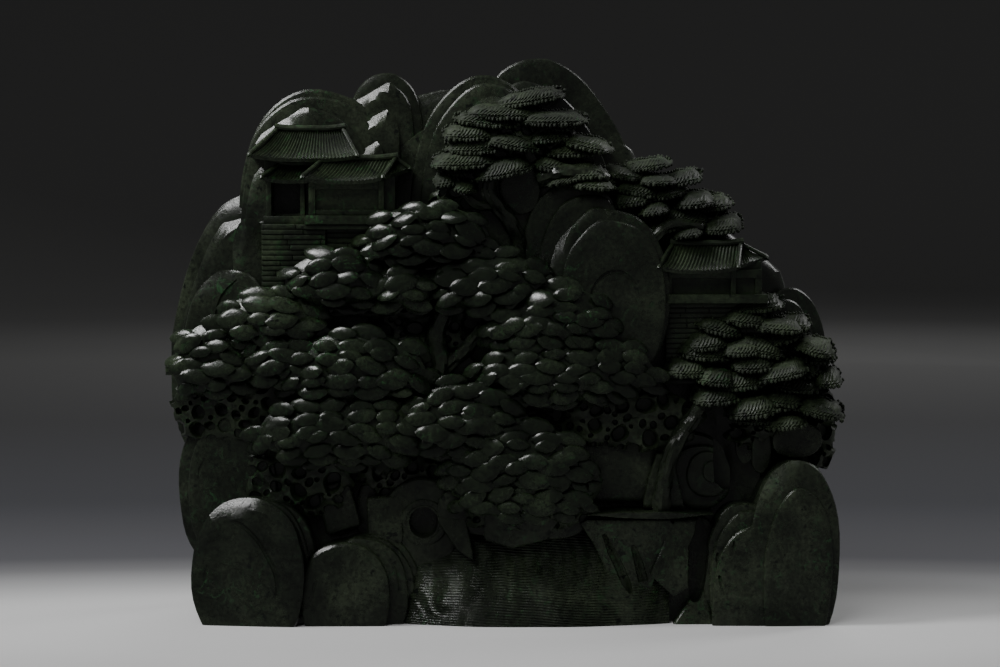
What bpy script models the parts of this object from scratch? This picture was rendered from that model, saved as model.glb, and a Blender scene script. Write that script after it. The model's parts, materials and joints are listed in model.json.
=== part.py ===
"""A mountain landscape carved from one block of dark green jade.

The front holds peaks, boulders of nested slabs, pavilions on built terraces, a pine with scale-like
needles, three trees of fine needle pads, a ledge with hanging rocks and a rippled stream. The back
holds plain boulders. All of it is one stone, cut flat below, where the origin is: +Z is up, -Y is
the front and +X is to the right of someone facing the front.

The carving's proportions are shares of the stone's own size. A place is written as (across, up,
front): a share of WIDTH from the middle, a share of HEIGHT from the base, and a share of DEPTH
forward of the middle. Sizes across, up and forward are shares of the same three.
"""

import math
from collections import namedtuple

import bmesh
import bpy
from mathutils import Matrix, Vector

# Size of the stone
WIDTH = 0.350
HEIGHT = 0.288
DEPTH = 0.124

# Sizes of the carving, in metres
SLAB_EDGE = 0.0035
SCALE_RELIEF = 0.0026
NEEDLE_RELIEF = 0.0016
TILE_RELIEF = 0.0010
EAVES_THICKNESS = 0.0030
COURSE_HEIGHT = 0.0072
COURSE_STEP = 0.0009
RIPPLE_HEIGHT = 0.0012
WINDOW_DEPTH = 0.0030
SLIVER = 0.00002
CAVE_RADIUS = 0.0088
CAVE_DEPTH = 0.030
PIT_RADIUS = 0.0030
PIT_DEPTH = 0.010

# How far past the middle a form reaches into the stone, in shares of DEPTH. Each form stops at a
# depth of its own, up to ROOT_SPREAD either way, so that no two rear faces lie flush.
ROOT = 0.10
ROOT_SPREAD = 0.04
SLAB_SIDES = 12
SMALL_SLAB_SIDES = 10
SMALL_SLAB = 0.149
BROAD_SLAB = 0.060
LIMB_SIDES = 5
PIT_SIDES = 6
CAVE_SIDES = 12

# How far a row of leaves' lip lies below the middle of its row, in rows
LIP = 0.45

# How much of a pad lies below its widest line, as a share of what lies above it
PAD_BELLY = 0.62

# A rounded slab: its middle, half its size, the place of its face, how far it leans to the right
# and turns to face right, both in degrees, and how square its outline is, where 2 is an ellipse
Slab = namedtuple("Slab", "across up wide high front lean turn square", defaults=(0, 0, 2.2))

# A foliage pad: its middle, half its size, how far its edge and its crown stand forward, its rows
# of leaves and the leaves in a row
Pad = namedtuple("Pad", "across up wide high edge crown rows leaves")

# A roof: its ridge's ends, its eaves' ends, their heights, their places forward, and its tile ribs
Roof = namedtuple("Roof", "ridge_ends eaves_ends heights fronts ribs")

# A block: its sides, its bottom and top, its face
Block = namedtuple("Block", "left right low high front")

PEAKS = {
    "left_peak": (
        Slab(-0.275, 0.730, 0.118, 0.216, 0.10),
        Slab(-0.289, 0.716, 0.106, 0.205, 0.15),
    ),
    "second_peak": (
        Slab(-0.181, 0.845, 0.059, 0.131, 0.06, 4),
        Slab(-0.190, 0.830, 0.047, 0.113, 0.10, 4),
        Slab(-0.196, 0.815, 0.035, 0.092, 0.14, 4),
    ),
    "third_peak": (
        Slab(-0.044, 0.756, 0.096, 0.214, 0.12, 7),
        Slab(-0.034, 0.746, 0.082, 0.202, 0.16, 7),
        Slab(-0.024, 0.736, 0.068, 0.186, 0.20, 7),
    ),
    "high_peak": (
        Slab(0.080, 0.838, 0.091, 0.176, 0.02, -30),
        Slab(0.070, 0.818, 0.080, 0.162, 0.07, -30),
    ),
    "right_slope": (
        Slab(0.223, 0.612, 0.112, 0.250, 0.03, -48, 0, 3),
        Slab(0.212, 0.590, 0.108, 0.240, 0.09, -48, 0, 3),
    ),
    "right_shoulder": (
        Slab(0.425, 0.440, 0.058, 0.150, 0.10, 0, 12),
        Slab(0.410, 0.420, 0.052, 0.140, 0.16, 0, 10),
    ),
}

BOULDERS = {
    "left_boulder": (
        Slab(-0.402, 0.512, 0.096, 0.250, 0.12, 11, -16),
        Slab(-0.392, 0.500, 0.086, 0.230, 0.18, 11, -14),
        Slab(-0.405, 0.480, 0.076, 0.160, 0.23, 4, -14),
        Slab(-0.362, 0.610, 0.034, 0.112, 0.22, -9, 10),
    ),
    "left_hollow_rocks": (
        Slab(-0.408, 0.235, 0.076, 0.150, 0.26, 0, -12),
        Slab(-0.398, 0.228, 0.064, 0.132, 0.30, 0, -8),
    ),
    "leaning_boulder": (
        Slab(0.096, 0.645, 0.076, 0.140, 0.22, 10),
        Slab(0.108, 0.634, 0.068, 0.130, 0.26, 10),
        Slab(0.120, 0.626, 0.056, 0.118, 0.29, 10),
    ),
    "great_boulder": (
        Slab(0.151, 0.576, 0.090, 0.157, 0.29),
        Slab(0.155, 0.570, 0.079, 0.147, 0.34),
        Slab(0.160, 0.556, 0.066, 0.128, 0.38),
    ),
    "smooth_rock": (Slab(0.165, 0.300, 0.066, 0.090, 0.26, 0, 0, 3.4),),
    "coiled_rock": (
        Slab(0.272, 0.272, 0.064, 0.100, 0.26, -6),
        Slab(0.288, 0.256, 0.046, 0.068, 0.31),
        Slab(0.276, 0.248, 0.024, 0.034, 0.34),
    ),
    "left_foot_boulder": (
        Slab(-0.352, 0.098, 0.070, 0.124, 0.40),
        Slab(-0.374, 0.090, 0.088, 0.140, 0.44, 0, -10),
        Slab(-0.372, 0.062, 0.060, 0.116, 0.47, 0, -6),
    ),
    "second_foot_boulder": (
        Slab(-0.192, 0.052, 0.068, 0.106, 0.37, 0, 4),
        Slab(-0.206, 0.052, 0.066, 0.101, 0.42),
        Slab(-0.230, 0.052, 0.066, 0.098, 0.47),
    ),
    "right_foot_boulder": (
        Slab(0.354, 0.070, 0.064, 0.146, 0.34, 0, 4),
        Slab(0.366, 0.064, 0.056, 0.136, 0.39, 0, 4),
        Slab(0.418, 0.112, 0.066, 0.180, 0.44, 3, 8),
        Slab(0.424, 0.080, 0.052, 0.160, 0.48, 2, 6),
    ),
    "cave_rock": (
        Slab(-0.124, 0.172, 0.060, 0.086, 0.34, 20),
        Slab(-0.160, 0.190, 0.060, 0.070, 0.26, 0, 0, 3),
    ),
    "stream_bank": (
        Slab(0.010, 0.184, 0.110, 0.056, 0.38, 4, 0, 3),
    ),
    "ledge": (
        Slab(0.215, 0.196, 0.110, 0.022, 0.42, 0, 0, 4),
        Slab(0.222, 0.100, 0.100, 0.110, 0.20, 0, 0, 3),
    ),
    "left_web": (Slab(-0.405, 0.375, 0.092, 0.048, 0.30, -3, -10, 3),),
    "lower_web": (Slab(-0.300, 0.260, 0.078, 0.070, 0.34, -12, 0, 3),),
    "middle_web": (Slab(0.020, 0.230, 0.102, 0.048, 0.42, -4, 0, 3),),
    "right_web": (Slab(0.180, 0.372, 0.100, 0.046, 0.34, 4, 0, 3),),
    "tree_web": (Slab(0.460, 0.352, 0.036, 0.062, 0.22, 0, 16, 3),),
    "stream_side": (Slab(0.266, 0.020, 0.056, 0.170, 0.38, 12),),
}

PINE = {
    "pine_a": Pad(-0.113, 0.678, 0.098, 0.068, 0.30, 0.42, 3, 4),
    "pine_b": Pad(-0.247, 0.596, 0.080, 0.066, 0.30, 0.41, 3, 3),
    "pine_c": Pad(-0.340, 0.527, 0.080, 0.066, 0.30, 0.42, 3, 3),
    "pine_d": Pad(-0.420, 0.448, 0.072, 0.092, 0.26, 0.38, 3, 3),
    "pine_e": Pad(-0.016, 0.591, 0.086, 0.070, 0.33, 0.43, 3, 3),
    "pine_f": Pad(0.069, 0.523, 0.098, 0.084, 0.34, 0.46, 3, 4),
    "pine_g": Pad(0.088, 0.440, 0.140, 0.080, 0.36, 0.47, 3, 4),
    "pine_h": Pad(-0.219, 0.436, 0.114, 0.088, 0.36, 0.48, 3, 4),
    "pine_i": Pad(-0.229, 0.333, 0.140, 0.084, 0.37, 0.49, 3, 4),
    "pine_j": Pad(-0.059, 0.349, 0.104, 0.082, 0.38, 0.49, 3, 3),
    "pine_k": Pad(0.020, 0.278, 0.110, 0.084, 0.39, 0.50, 3, 4),
    "pine_l": Pad(0.028, 0.217, 0.102, 0.062, 0.39, 0.49, 2, 4),
    "pine_m": Pad(-0.150, 0.590, 0.056, 0.058, 0.29, 0.40, 2, 3),
    "pine_n": Pad(-0.318, 0.458, 0.070, 0.062, 0.31, 0.43, 2, 3),
}

NEEDLE_TREES = {
    "upper_tree": (
        Pad(0.037, 0.900, 0.094, 0.050, 0.16, 0.28, 2, 3),
        Pad(-0.023, 0.861, 0.068, 0.048, 0.20, 0.30, 2, 2),
        Pad(0.090, 0.858, 0.062, 0.044, 0.18, 0.28, 2, 2),
        Pad(-0.026, 0.811, 0.076, 0.056, 0.22, 0.34, 2, 3),
        Pad(0.097, 0.808, 0.060, 0.046, 0.20, 0.31, 2, 2),
        Pad(-0.073, 0.779, 0.033, 0.040, 0.21, 0.31, 2, 2),
        Pad(0.108, 0.782, 0.054, 0.034, 0.22, 0.33, 2, 2),
    ),
    "slope_tree": (
        Pad(0.206, 0.790, 0.058, 0.038, 0.10, 0.23, 2, 2),
        Pad(0.258, 0.758, 0.054, 0.050, 0.10, 0.24, 2, 2),
        Pad(0.203, 0.744, 0.049, 0.044, 0.16, 0.28, 2, 2),
        Pad(0.302, 0.712, 0.053, 0.054, 0.10, 0.24, 2, 2),
        Pad(0.254, 0.698, 0.042, 0.040, 0.16, 0.28, 2, 2),
    ),
    "shoulder_tree": (
        Pad(0.379, 0.534, 0.068, 0.050, 0.22, 0.34, 2, 3),
        Pad(0.323, 0.495, 0.060, 0.050, 0.26, 0.37, 2, 2),
        Pad(0.429, 0.500, 0.056, 0.052, 0.20, 0.33, 2, 2),
        Pad(0.286, 0.448, 0.058, 0.054, 0.28, 0.39, 2, 2),
        Pad(0.382, 0.456, 0.064, 0.054, 0.28, 0.40, 2, 3),
        Pad(0.460, 0.441, 0.040, 0.056, 0.18, 0.31, 2, 2),
        Pad(0.338, 0.395, 0.068, 0.058, 0.30, 0.42, 2, 3),
        Pad(0.436, 0.391, 0.060, 0.054, 0.26, 0.38, 2, 2),
        Pad(0.386, 0.363, 0.060, 0.040, 0.30, 0.40, 2, 2),
    ),
}

ROOFS = {
    "back_upper_roof": Roof((-0.330, -0.236), (-0.374, -0.222), (0.882, 0.826), (0.17, 0.27), 5),
    "back_lower_roof": Roof((-0.334, -0.262), (-0.368, -0.252), (0.812, 0.782), (0.22, 0.30), 4),
    "front_roof": Roof((-0.262, -0.160), (-0.296, -0.148), (0.834, 0.784), (0.22, 0.34), 5),
    "right_roof": Roof((0.262, 0.346), (0.228, 0.380), (0.668, 0.622), (0.22, 0.33), 5),
}

BLOCKS = {
    "back_hall": Block(-0.354, -0.250, 0.700, 0.830, 0.23),
    "front_hall": Block(-0.286, -0.160, 0.700, 0.800, 0.30),
    "front_sill": Block(-0.292, -0.154, 0.706, 0.726, 0.325),
    "right_hall": Block(0.205, 0.376, 0.560, 0.640, 0.28),
    "right_sill": Block(0.205, 0.384, 0.566, 0.582, 0.305),
}

WINDOWS = {
    "back_doorway": Block(-0.344, -0.296, 0.724, 0.768, 0.23),
    "front_window": Block(-0.274, -0.184, 0.732, 0.770, 0.30),
    "right_window": Block(0.246, 0.330, 0.588, 0.612, 0.28),
}

TERRACES = {
    "left_terrace": Block(-0.356, -0.190, 0.540, 0.718, 0.27),
    "right_terrace": Block(0.236, 0.384, 0.420, 0.574, 0.25),
}

# Trunks and boughs: the places they pass through and their half thickness there, as a share of WIDTH
LIMBS = {
    "upper_trunk": (
        (0.044, 0.570, 0.12, 0.018),
        (0.026, 0.680, 0.23, 0.016),
        (0.006, 0.750, 0.25, 0.013),
        (-0.014, 0.810, 0.24, 0.012),
    ),
    "upper_bough": (
        (0.014, 0.725, 0.22, 0.010),
        (-0.040, 0.765, 0.24, 0.008),
        (-0.070, 0.790, 0.24, 0.006),
    ),
    "slope_trunk": (
        (0.206, 0.640, 0.20, 0.014),
        (0.224, 0.690, 0.27, 0.012),
        (0.262, 0.720, 0.22, 0.010),
    ),
    "pine_trunk": (
        (-0.190, 0.270, 0.34, 0.022),
        (-0.128, 0.370, 0.32, 0.022),
        (-0.092, 0.460, 0.27, 0.020),
        (-0.064, 0.580, 0.26, 0.016),
    ),
    "shoulder_trunk": (
        (0.372, 0.230, 0.30, 0.014),
        (0.386, 0.300, 0.34, 0.013),
        (0.372, 0.370, 0.32, 0.012),
    ),
    "web_post": (
        (0.228, 0.240, 0.32, 0.014),
        (0.240, 0.320, 0.34, 0.013),
        (0.262, 0.380, 0.34, 0.012),
    ),
}

# Rocks that hang from the ledge: middle, top and tip up, half width, front at top and at tip
FANGS = {
    "first_fang": (0.165, 0.180, 0.070, 0.020, 0.40, 0.34),
    "second_fang": (0.196, 0.182, 0.040, 0.022, 0.41, 0.36),
    "great_fang": (0.262, 0.184, 0.010, 0.050, 0.42, 0.38),
    "bank_fang": (-0.048, 0.170, 0.098, 0.016, 0.40, 0.37),
}

# The round cave: (across, up, front of its mouth)
CAVES = {"cave": (-0.119, 0.177, 0.36)}
# Webs below the foliage and how many holes are drilled through the front of each
WEB_HOLES = {"left_web": 3, "lower_web": 4, "right_web": 4, "tree_web": 2}

BACK = {
    "back_great": (
        Slab(-0.060, 0.520, 0.200, 0.400, 0.30, 6, 6),
        Slab(-0.020, 0.450, 0.150, 0.310, 0.38, 6, 6),
    ),
    "back_left": (
        Slab(-0.320, 0.360, 0.150, 0.340, 0.26, 8, -18),
        Slab(-0.290, 0.310, 0.110, 0.270, 0.33, 8, -14),
    ),
    "back_right": (
        Slab(0.260, 0.420, 0.170, 0.340, 0.28, -12, 14),
        Slab(0.240, 0.360, 0.130, 0.270, 0.36, -12, 12),
    ),
    "back_foot_left": (Slab(-0.190, 0.080, 0.140, 0.200, 0.42),),
    "back_foot_right": (Slab(0.180, 0.060, 0.150, 0.230, 0.44),),
}

# The mass behind the carving: at each height its left, right, front and back
MASS_LEVELS = (
    (-0.060, -0.450, 0.450, 0.36, 0.40),
    (0.100, -0.456, 0.462, 0.28, 0.38),
    (0.280, -0.474, 0.470, 0.20, 0.34),
    (0.460, -0.488, 0.470, 0.16, 0.30),
    (0.600, -0.470, 0.420, 0.16, 0.26),
    (0.720, -0.410, 0.320, 0.12, 0.24),
    (0.820, -0.340, 0.200, 0.07, 0.22),
    (0.900, -0.250, 0.140, 0.05, 0.18),
    (0.945, -0.100, 0.080, 0.02, 0.12),
)
MASS_SIDES = 16

# The stream's face: its left, right, then up and front of its upper and lower edges, and how much
# farther back its two sides lie
STREAM = (-0.165, 0.240, 0.165, 0.28, -0.040, 0.50)
STREAM_FALL = 0.10
STREAM_ROWS = 8
STREAM_COLUMNS = 5


def place(across, up, front):
    """The point for a place given as shares of the stone's size."""
    return Vector((across * WIDTH, -front * DEPTH, up * HEIGHT))


def new_object(name, mesh_builder, collection):
    """A helper solid with outward faces, kept as a wire guide that the stone's Booleans read."""
    bmesh.ops.recalc_face_normals(mesh_builder, faces=mesh_builder.faces)
    mesh = bpy.data.meshes.new(name)
    mesh_builder.to_mesh(mesh)
    mesh_builder.free()
    form = bpy.data.objects.new(name, mesh)
    form.hide_render = True
    form.display_type = "WIRE"
    collection.objects.link(form)
    return form


def loft(name, rings, collection, tip=None):
    """A solid through rings of equal count. A tip closes its last end with a point instead of a face."""
    builder = bmesh.new()
    rows = [[builder.verts.new(point) for point in ring] for ring in rings]
    count = len(rows[0])
    for row, following in zip(rows, rows[1:]):
        for i in range(count):
            j = (i + 1) % count
            builder.faces.new((row[i], row[j], following[j], following[i]))
    builder.faces.new(rows[0])
    if tip is None:
        builder.faces.new(rows[-1])
    else:
        point = builder.verts.new(tip)
        for i in range(count):
            builder.faces.new((rows[-1][i], rows[-1][(i + 1) % count], point))
    return new_object(name, builder, collection)


def power(value, exponent):
    return math.copysign(abs(value) ** exponent, value)


def outline(wide, high, square, count):
    """Points of a rounded outline in the XZ plane, about its middle."""
    points = []
    for i in range(count):
        angle = 2 * math.pi * (i + 0.5) / count
        x = wide * power(math.cos(angle), 2 / square)
        z = high * power(math.sin(angle), 2 / square)
        points.append((x, z))
    return points


def rear_depth(across, up):
    """Where a form at this place stops inside the stone, in metres behind the middle."""
    return (ROOT + ROOT_SPREAD * math.sin(47 * across + 31 * up)) * DEPTH


def slab(name, form, collection, facing=1, foremost=True):
    """One rounded slab with a domed face. facing is -1 on the back of the stone.

    The foremost slab of a broad boulder has a softened edge. Those behind show only as bands.
    """
    reach = form.front * DEPTH + rear_depth(form.across, form.up)
    turned = Matrix.Rotation(math.radians(form.turn), 4, "Z")
    leaned = Matrix.Rotation(math.radians(form.lean), 4, "Y")
    middle = place(form.across, form.up, form.front)
    sides = SMALL_SLAB_SIDES if form.high < SMALL_SLAB else SLAB_SIDES
    points = outline(form.wide * WIDTH, form.high * HEIGHT, form.square, sides)

    def ring(share, behind):
        found = []
        for x, z in points:
            point = middle + turned @ leaned @ Vector((x * share, behind, z * share))
            found.append(Vector((point.x, point.y * facing, point.z)))
        return found

    rings = [ring(0.92, reach), ring(1, SLAB_EDGE)]
    if foremost and form.wide >= BROAD_SLAB:
        rings.append(ring(0.88, 0))
    tip = middle + turned @ Vector((0, -SLAB_EDGE * 0.5, 0))
    loft(name, rings, collection, Vector((tip.x, tip.y * facing, tip.z)))


def pad(name, form, relief, collection):
    """A crowned foliage pad whose face is rows of leaves, each a raised point between low joints."""
    columns = 2 * form.leaves
    lines = 2 * form.rows
    rear_y = rear_depth(form.across, form.up)
    builder = bmesh.new()
    grid = []
    for line in range(lines + 1):
        crest = line % 2 == 1
        t = 1 - 2 * (line + (LIP if crest else 0)) / lines
        row = []
        for column in range(columns + 1):
            s = 2 * column / columns - 1
            x = s * math.sqrt(1 - t * t / 2)
            z = t * math.sqrt(1 - s * s / 2)
            rise = math.sqrt(max(0.0, 1 - x * x - z * z))
            front = form.edge + (form.crown - form.edge) * rise
            reach = form.high if z > 0 else form.high * PAD_BELLY
            point = place(form.across + form.wide * x, form.up + reach * z, front)
            leaf = (column + line // 2) % 2 == 1
            if crest:
                point.y -= relief if leaf else 0.3 * relief
                point.z -= 0.5 * relief if leaf else -0.3 * relief
            elif 0 < line < lines:
                point.y += 0.5 * relief
            row.append(builder.verts.new(point))
        grid.append(row)
    for line in range(lines):
        for column in range(columns):
            a, b = grid[line][column], grid[line][column + 1]
            c, d = grid[line + 1][column + 1], grid[line + 1][column]
            if (column + line) % 2:
                builder.faces.new((a, b, d))
                builder.faces.new((b, c, d))
            else:
                builder.faces.new((a, b, c))
                builder.faces.new((a, c, d))
    close_behind(builder, grid, rear_y)
    new_object(name, builder, collection)


def close_behind(builder, grid, rear_y):
    """Walls from the rim of a grid of points straight back to a flat rear face."""
    rim = grid[0][:-1] + [line[-1] for line in grid[:-1]]
    rim += grid[-1][:0:-1] + [line[0] for line in grid[:0:-1]]
    rear = [builder.verts.new((v.co.x, rear_y, v.co.z)) for v in rim]
    for i in range(len(rim)):
        j = (i + 1) % len(rim)
        builder.faces.new((rim[i], rim[j], rear[j], rear[i]))
    builder.faces.new(rear)


def roof(name, form, collection):
    """A tiled roof with ribs down its slope and eaves that turn up at their ends."""
    stations = 2 * form.ribs
    rear_y = rear_depth(*form.eaves_ends)
    rings = []
    for station in range(stations + 1):
        share = station / stations
        rib = TILE_RELIEF if station % 2 else 0
        curl = 0.010 * (2 * share - 1) ** 4
        ridge_x = form.ridge_ends[0] + (form.ridge_ends[1] - form.ridge_ends[0]) * share
        eaves_x = form.eaves_ends[0] + (form.eaves_ends[1] - form.eaves_ends[0]) * share
        ridge = place(ridge_x, form.heights[0] + curl / 2, form.fronts[0])
        eaves = place(eaves_x, form.heights[1] + curl, form.fronts[1])
        slope = ridge.lerp(eaves, 0.55) - Vector((0, 0, 0.003 * HEIGHT))
        lift = Vector((0, -rib, rib))
        under = eaves - Vector((0, 0, EAVES_THICKNESS))
        rear_low = Vector((under.x, rear_y, under.z))
        rear_high = Vector((ridge.x, rear_y, ridge.z))
        rings.append([ridge + lift, slope + lift, eaves + lift, under, rear_low, rear_high])
    loft(name, rings, collection)


def block(name, form, collection):
    """A square block from its face back into the stone."""
    rings = []
    for y in (-form.front * DEPTH, rear_depth(form.left, form.low)):
        rings.append([
            Vector((form.left * WIDTH, y, form.low * HEIGHT)),
            Vector((form.right * WIDTH, y, form.low * HEIGHT)),
            Vector((form.right * WIDTH, y, form.high * HEIGHT)),
            Vector((form.left * WIDTH, y, form.high * HEIGHT)),
        ])
    loft(name, rings, collection)


def window(name, form, collection):
    """A cutter that sinks a window or doorway into a hall's face."""
    rings = []
    for y in (-form.front * DEPTH - 2 * WINDOW_DEPTH, -form.front * DEPTH + WINDOW_DEPTH):
        rings.append([
            Vector((form.left * WIDTH, y, form.low * HEIGHT)),
            Vector((form.right * WIDTH, y, form.low * HEIGHT)),
            Vector((form.right * WIDTH, y, form.high * HEIGHT)),
            Vector((form.left * WIDTH, y, form.high * HEIGHT)),
        ])
    loft(name, rings, collection)


def terrace(name, form, collection):
    """A built wall whose courses of stone lie in shallow steps."""
    courses = max(2, round((form.high - form.low) * HEIGHT / COURSE_HEIGHT))
    rear_y = rear_depth(form.left, form.low)
    rings = []
    for course in range(courses):
        for edge in (0.06, 0.94):
            up = form.low + (form.high - form.low) * (course + edge) / courses
            step = COURSE_STEP if course % 2 else 0
            corners = [place(x, up, form.front) for x in (form.left, form.right)]
            rear = [Vector((x * WIDTH, rear_y, up * HEIGHT)) for x in (form.right, form.left)]
            rings.append([corner - Vector((0, step, 0)) for corner in corners] + rear)
    loft(name, rings, collection)


def limb(name, stops, collection):
    """A trunk or bough through the given places."""
    centres = [place(*stop[:3]) for stop in stops]
    rings = []
    for i, centre in enumerate(centres):
        before, after = centres[max(i - 1, 0)], centres[min(i + 1, len(centres) - 1)]
        along = (after - before).normalized()
        side = along.cross(Vector((0, 1, 0))).normalized()
        outward = side.cross(along)
        radius = stops[i][3] * WIDTH
        ring = []
        for k in range(LIMB_SIDES):
            angle = 2 * math.pi * k / LIMB_SIDES
            ring.append(centre + radius * (math.cos(angle) * side + math.sin(angle) * outward))
        rings.append(ring)
    loft(name, rings, collection)


def fang(name, form, collection):
    """A rock that hangs from the ledge and narrows to its tip."""
    across, top, tip, wide, front_top, front_tip = form
    rear = -rear_depth(across, top) / DEPTH
    ring = [
        place(across - wide, top, rear),
        place(across - wide, top, front_top - 0.04),
        place(across - wide * 0.2, top, front_top),
        place(across + wide, top, front_top - 0.03),
        place(across + wide, top, rear),
    ]
    end = place(across + wide * 0.3, tip, front_tip)
    low = [point.lerp(end, 0.9) for point in ring]
    for i in (0, -1):
        low[i].y = rear_depth(across, top)
    loft(name, [ring, low], collection)


def drill(name, centre, radius, depth, sides, collection):
    """A round cutter that enters from the front."""
    mouth = place(*centre)
    rings = []
    for behind in (-depth, depth):
        ring = []
        for i in range(sides):
            angle = 2 * math.pi * (i + 0.5) / sides
            offset = Vector((radius * math.cos(angle), behind, radius * math.sin(angle)))
            ring.append(mouth + offset)
        rings.append(ring)
    loft(name, rings, collection)


def stream(collection):
    """The stream's sloping face, in cross waves, from the hollow behind it down to the base."""
    left, right, high, high_front, low, low_front = STREAM
    builder = bmesh.new()
    grid = []
    for row in range(STREAM_ROWS + 1):
        down = row / STREAM_ROWS
        up = high + (low - high) * down
        front = high_front + (low_front - high_front) * math.sin(down * math.pi / 2) ** 0.8
        line = []
        for column in range(STREAM_COLUMNS + 1):
            share = 2 * column / STREAM_COLUMNS - 1
            across = (left + right) / 2 + (right - left) / 2 * share
            point = place(across, up, front - STREAM_FALL * share * share)
            point.y -= RIPPLE_HEIGHT if (row + column) % 2 else 0
            line.append(builder.verts.new(point))
        grid.append(line)
    for row in range(STREAM_ROWS):
        for column in range(STREAM_COLUMNS):
            corners = (grid[row][column], grid[row][column + 1])
            builder.faces.new(corners + (grid[row + 1][column + 1], grid[row + 1][column]))
    close_behind(builder, grid, rear_depth(left, low))
    new_object("stream", builder, collection)


def mountain_mass():
    """The stone behind the carving, through rounded level sections."""
    builder = bmesh.new()
    rows = []
    for up, left, right, front, back in MASS_LEVELS:
        middle = (left + right) / 2
        half = (right - left) / 2
        row = []
        for i in range(MASS_SIDES):
            angle = 2 * math.pi * (i + 0.5) / MASS_SIDES
            x = middle + half * power(math.cos(angle), 0.72)
            y = power(math.sin(angle), 0.72)
            row.append(builder.verts.new(place(x, up, y * (front if y > 0 else back))))
        rows.append(row)
    for row, following in zip(rows, rows[1:]):
        for i in range(MASS_SIDES):
            j = (i + 1) % MASS_SIDES
            builder.faces.new((row[i], row[j], following[j], following[i]))
    builder.faces.new(rows[0])
    builder.faces.new(rows[-1])
    bmesh.ops.recalc_face_normals(builder, faces=builder.faces)
    mesh = bpy.data.meshes.new("jade_mountain")
    builder.to_mesh(mesh)
    builder.free()
    stone = bpy.data.objects.new("jade_mountain", mesh)
    bpy.context.scene.collection.objects.link(stone)
    return stone


def jade():
    """Dark green polished nephrite."""
    material = bpy.data.materials.new("dark_green_jade")
    material.use_nodes = True
    shader = material.node_tree.nodes["Principled BSDF"]
    shader.inputs["Base Color"].default_value = (0.022, 0.048, 0.030, 1)
    shader.inputs["Roughness"].default_value = 0.28
    shader.inputs["Metallic"].default_value = 0
    return material


def cutter_box(collection):
    """A block below the base that cuts the stone's underside flat."""
    size = 2 * max(WIDTH, DEPTH)
    rings = []
    for z in (-HEIGHT, 0):
        corners = ((-size, -size), (size, -size), (size, size), (-size, size))
        rings.append([Vector((x, y, z)) for x, y in corners])
    loft("underside_cut", rings, collection)


def carve_front(collection):
    """Every form that stands on the front of the mountain."""
    for group in (PEAKS, BOULDERS):
        for name, slabs in group.items():
            for i, form in enumerate(slabs):
                slab(f"{name}_{i + 1}", form, collection, foremost=i == len(slabs) - 1)
    for name, form in PINE.items():
        pad(name, form, SCALE_RELIEF, collection)
    for name, pads in NEEDLE_TREES.items():
        for i, form in enumerate(pads):
            pad(f"{name}_{i + 1}", form, NEEDLE_RELIEF, collection)
    for name, form in ROOFS.items():
        roof(name, form, collection)
    for name, form in BLOCKS.items():
        block(name, form, collection)
    for name, form in TERRACES.items():
        terrace(name, form, collection)
    for name, stops in LIMBS.items():
        limb(name, stops, collection)
    for name, form in FANGS.items():
        fang(name, form, collection)
    stream(collection)


def carve_back(collection):
    """The plain boulders of the back."""
    for name, slabs in BACK.items():
        for i, form in enumerate(slabs):
            slab(f"{name}_{i + 1}", form, collection, facing=-1, foremost=i == len(slabs) - 1)


def cut_hollows(collection):
    """The cutters for windows, the round cave and the drilled holes."""
    for name, form in WINDOWS.items():
        window(name, form, collection)
    for name, centre in CAVES.items():
        drill(name, centre, CAVE_RADIUS, CAVE_DEPTH, CAVE_SIDES, collection)
    for name, count in WEB_HOLES.items():
        web = BOULDERS[name][0]
        for i in range(count):
            share = 2 * (i + 0.5) / count - 1
            rise = 0.34 * web.high * (-1) ** i - math.tan(math.radians(web.lean)) * share * web.wide
            centre = (web.across + 0.8 * web.wide * share, web.up + rise, web.front)
            drill(f"{name}_hole_{i + 1}", centre, PIT_RADIUS, PIT_DEPTH, PIT_SIDES, collection)
    cutter_box(collection)


def helper_collection(name):
    collection = bpy.data.collections.new(name)
    bpy.context.scene.collection.children.link(collection)
    return collection


def main():
    for old in list(bpy.data.objects):
        bpy.data.objects.remove(old)
    forms = helper_collection("carved_forms")
    hollows = helper_collection("hollows")
    carve_front(forms)
    carve_back(forms)
    cut_hollows(hollows)
    stone = mountain_mass()
    stone.data.materials.append(jade())
    for name, operation, collection in (
        ("carved_forms", "UNION", forms),
        ("hollows", "DIFFERENCE", hollows),
    ):
        boolean = stone.modifiers.new(name, "BOOLEAN")
        boolean.operation = operation
        boolean.operand_type = "COLLECTION"
        boolean.collection = collection
        boolean.solver = "EXACT"
    slivers = stone.modifiers.new("slivers", "WELD")
    slivers.merge_threshold = SLIVER


main()
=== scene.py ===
"""A dark green jade mountain carving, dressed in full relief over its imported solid.

The carving is one stone. Its layout is kept as shares of the stone's width, height and depth, the
same shares as the solid's. A place is (across, up, front): a share of the width from the middle, of
the height from the base, and of the depth forward of the middle. The front faces -Y.
"""
import json
import math
import random
from collections import namedtuple

import bpy
from bpy.props import FloatProperty, FloatVectorProperty, IntProperty, PointerProperty
from mathutils import Matrix, Vector, noise

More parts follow.
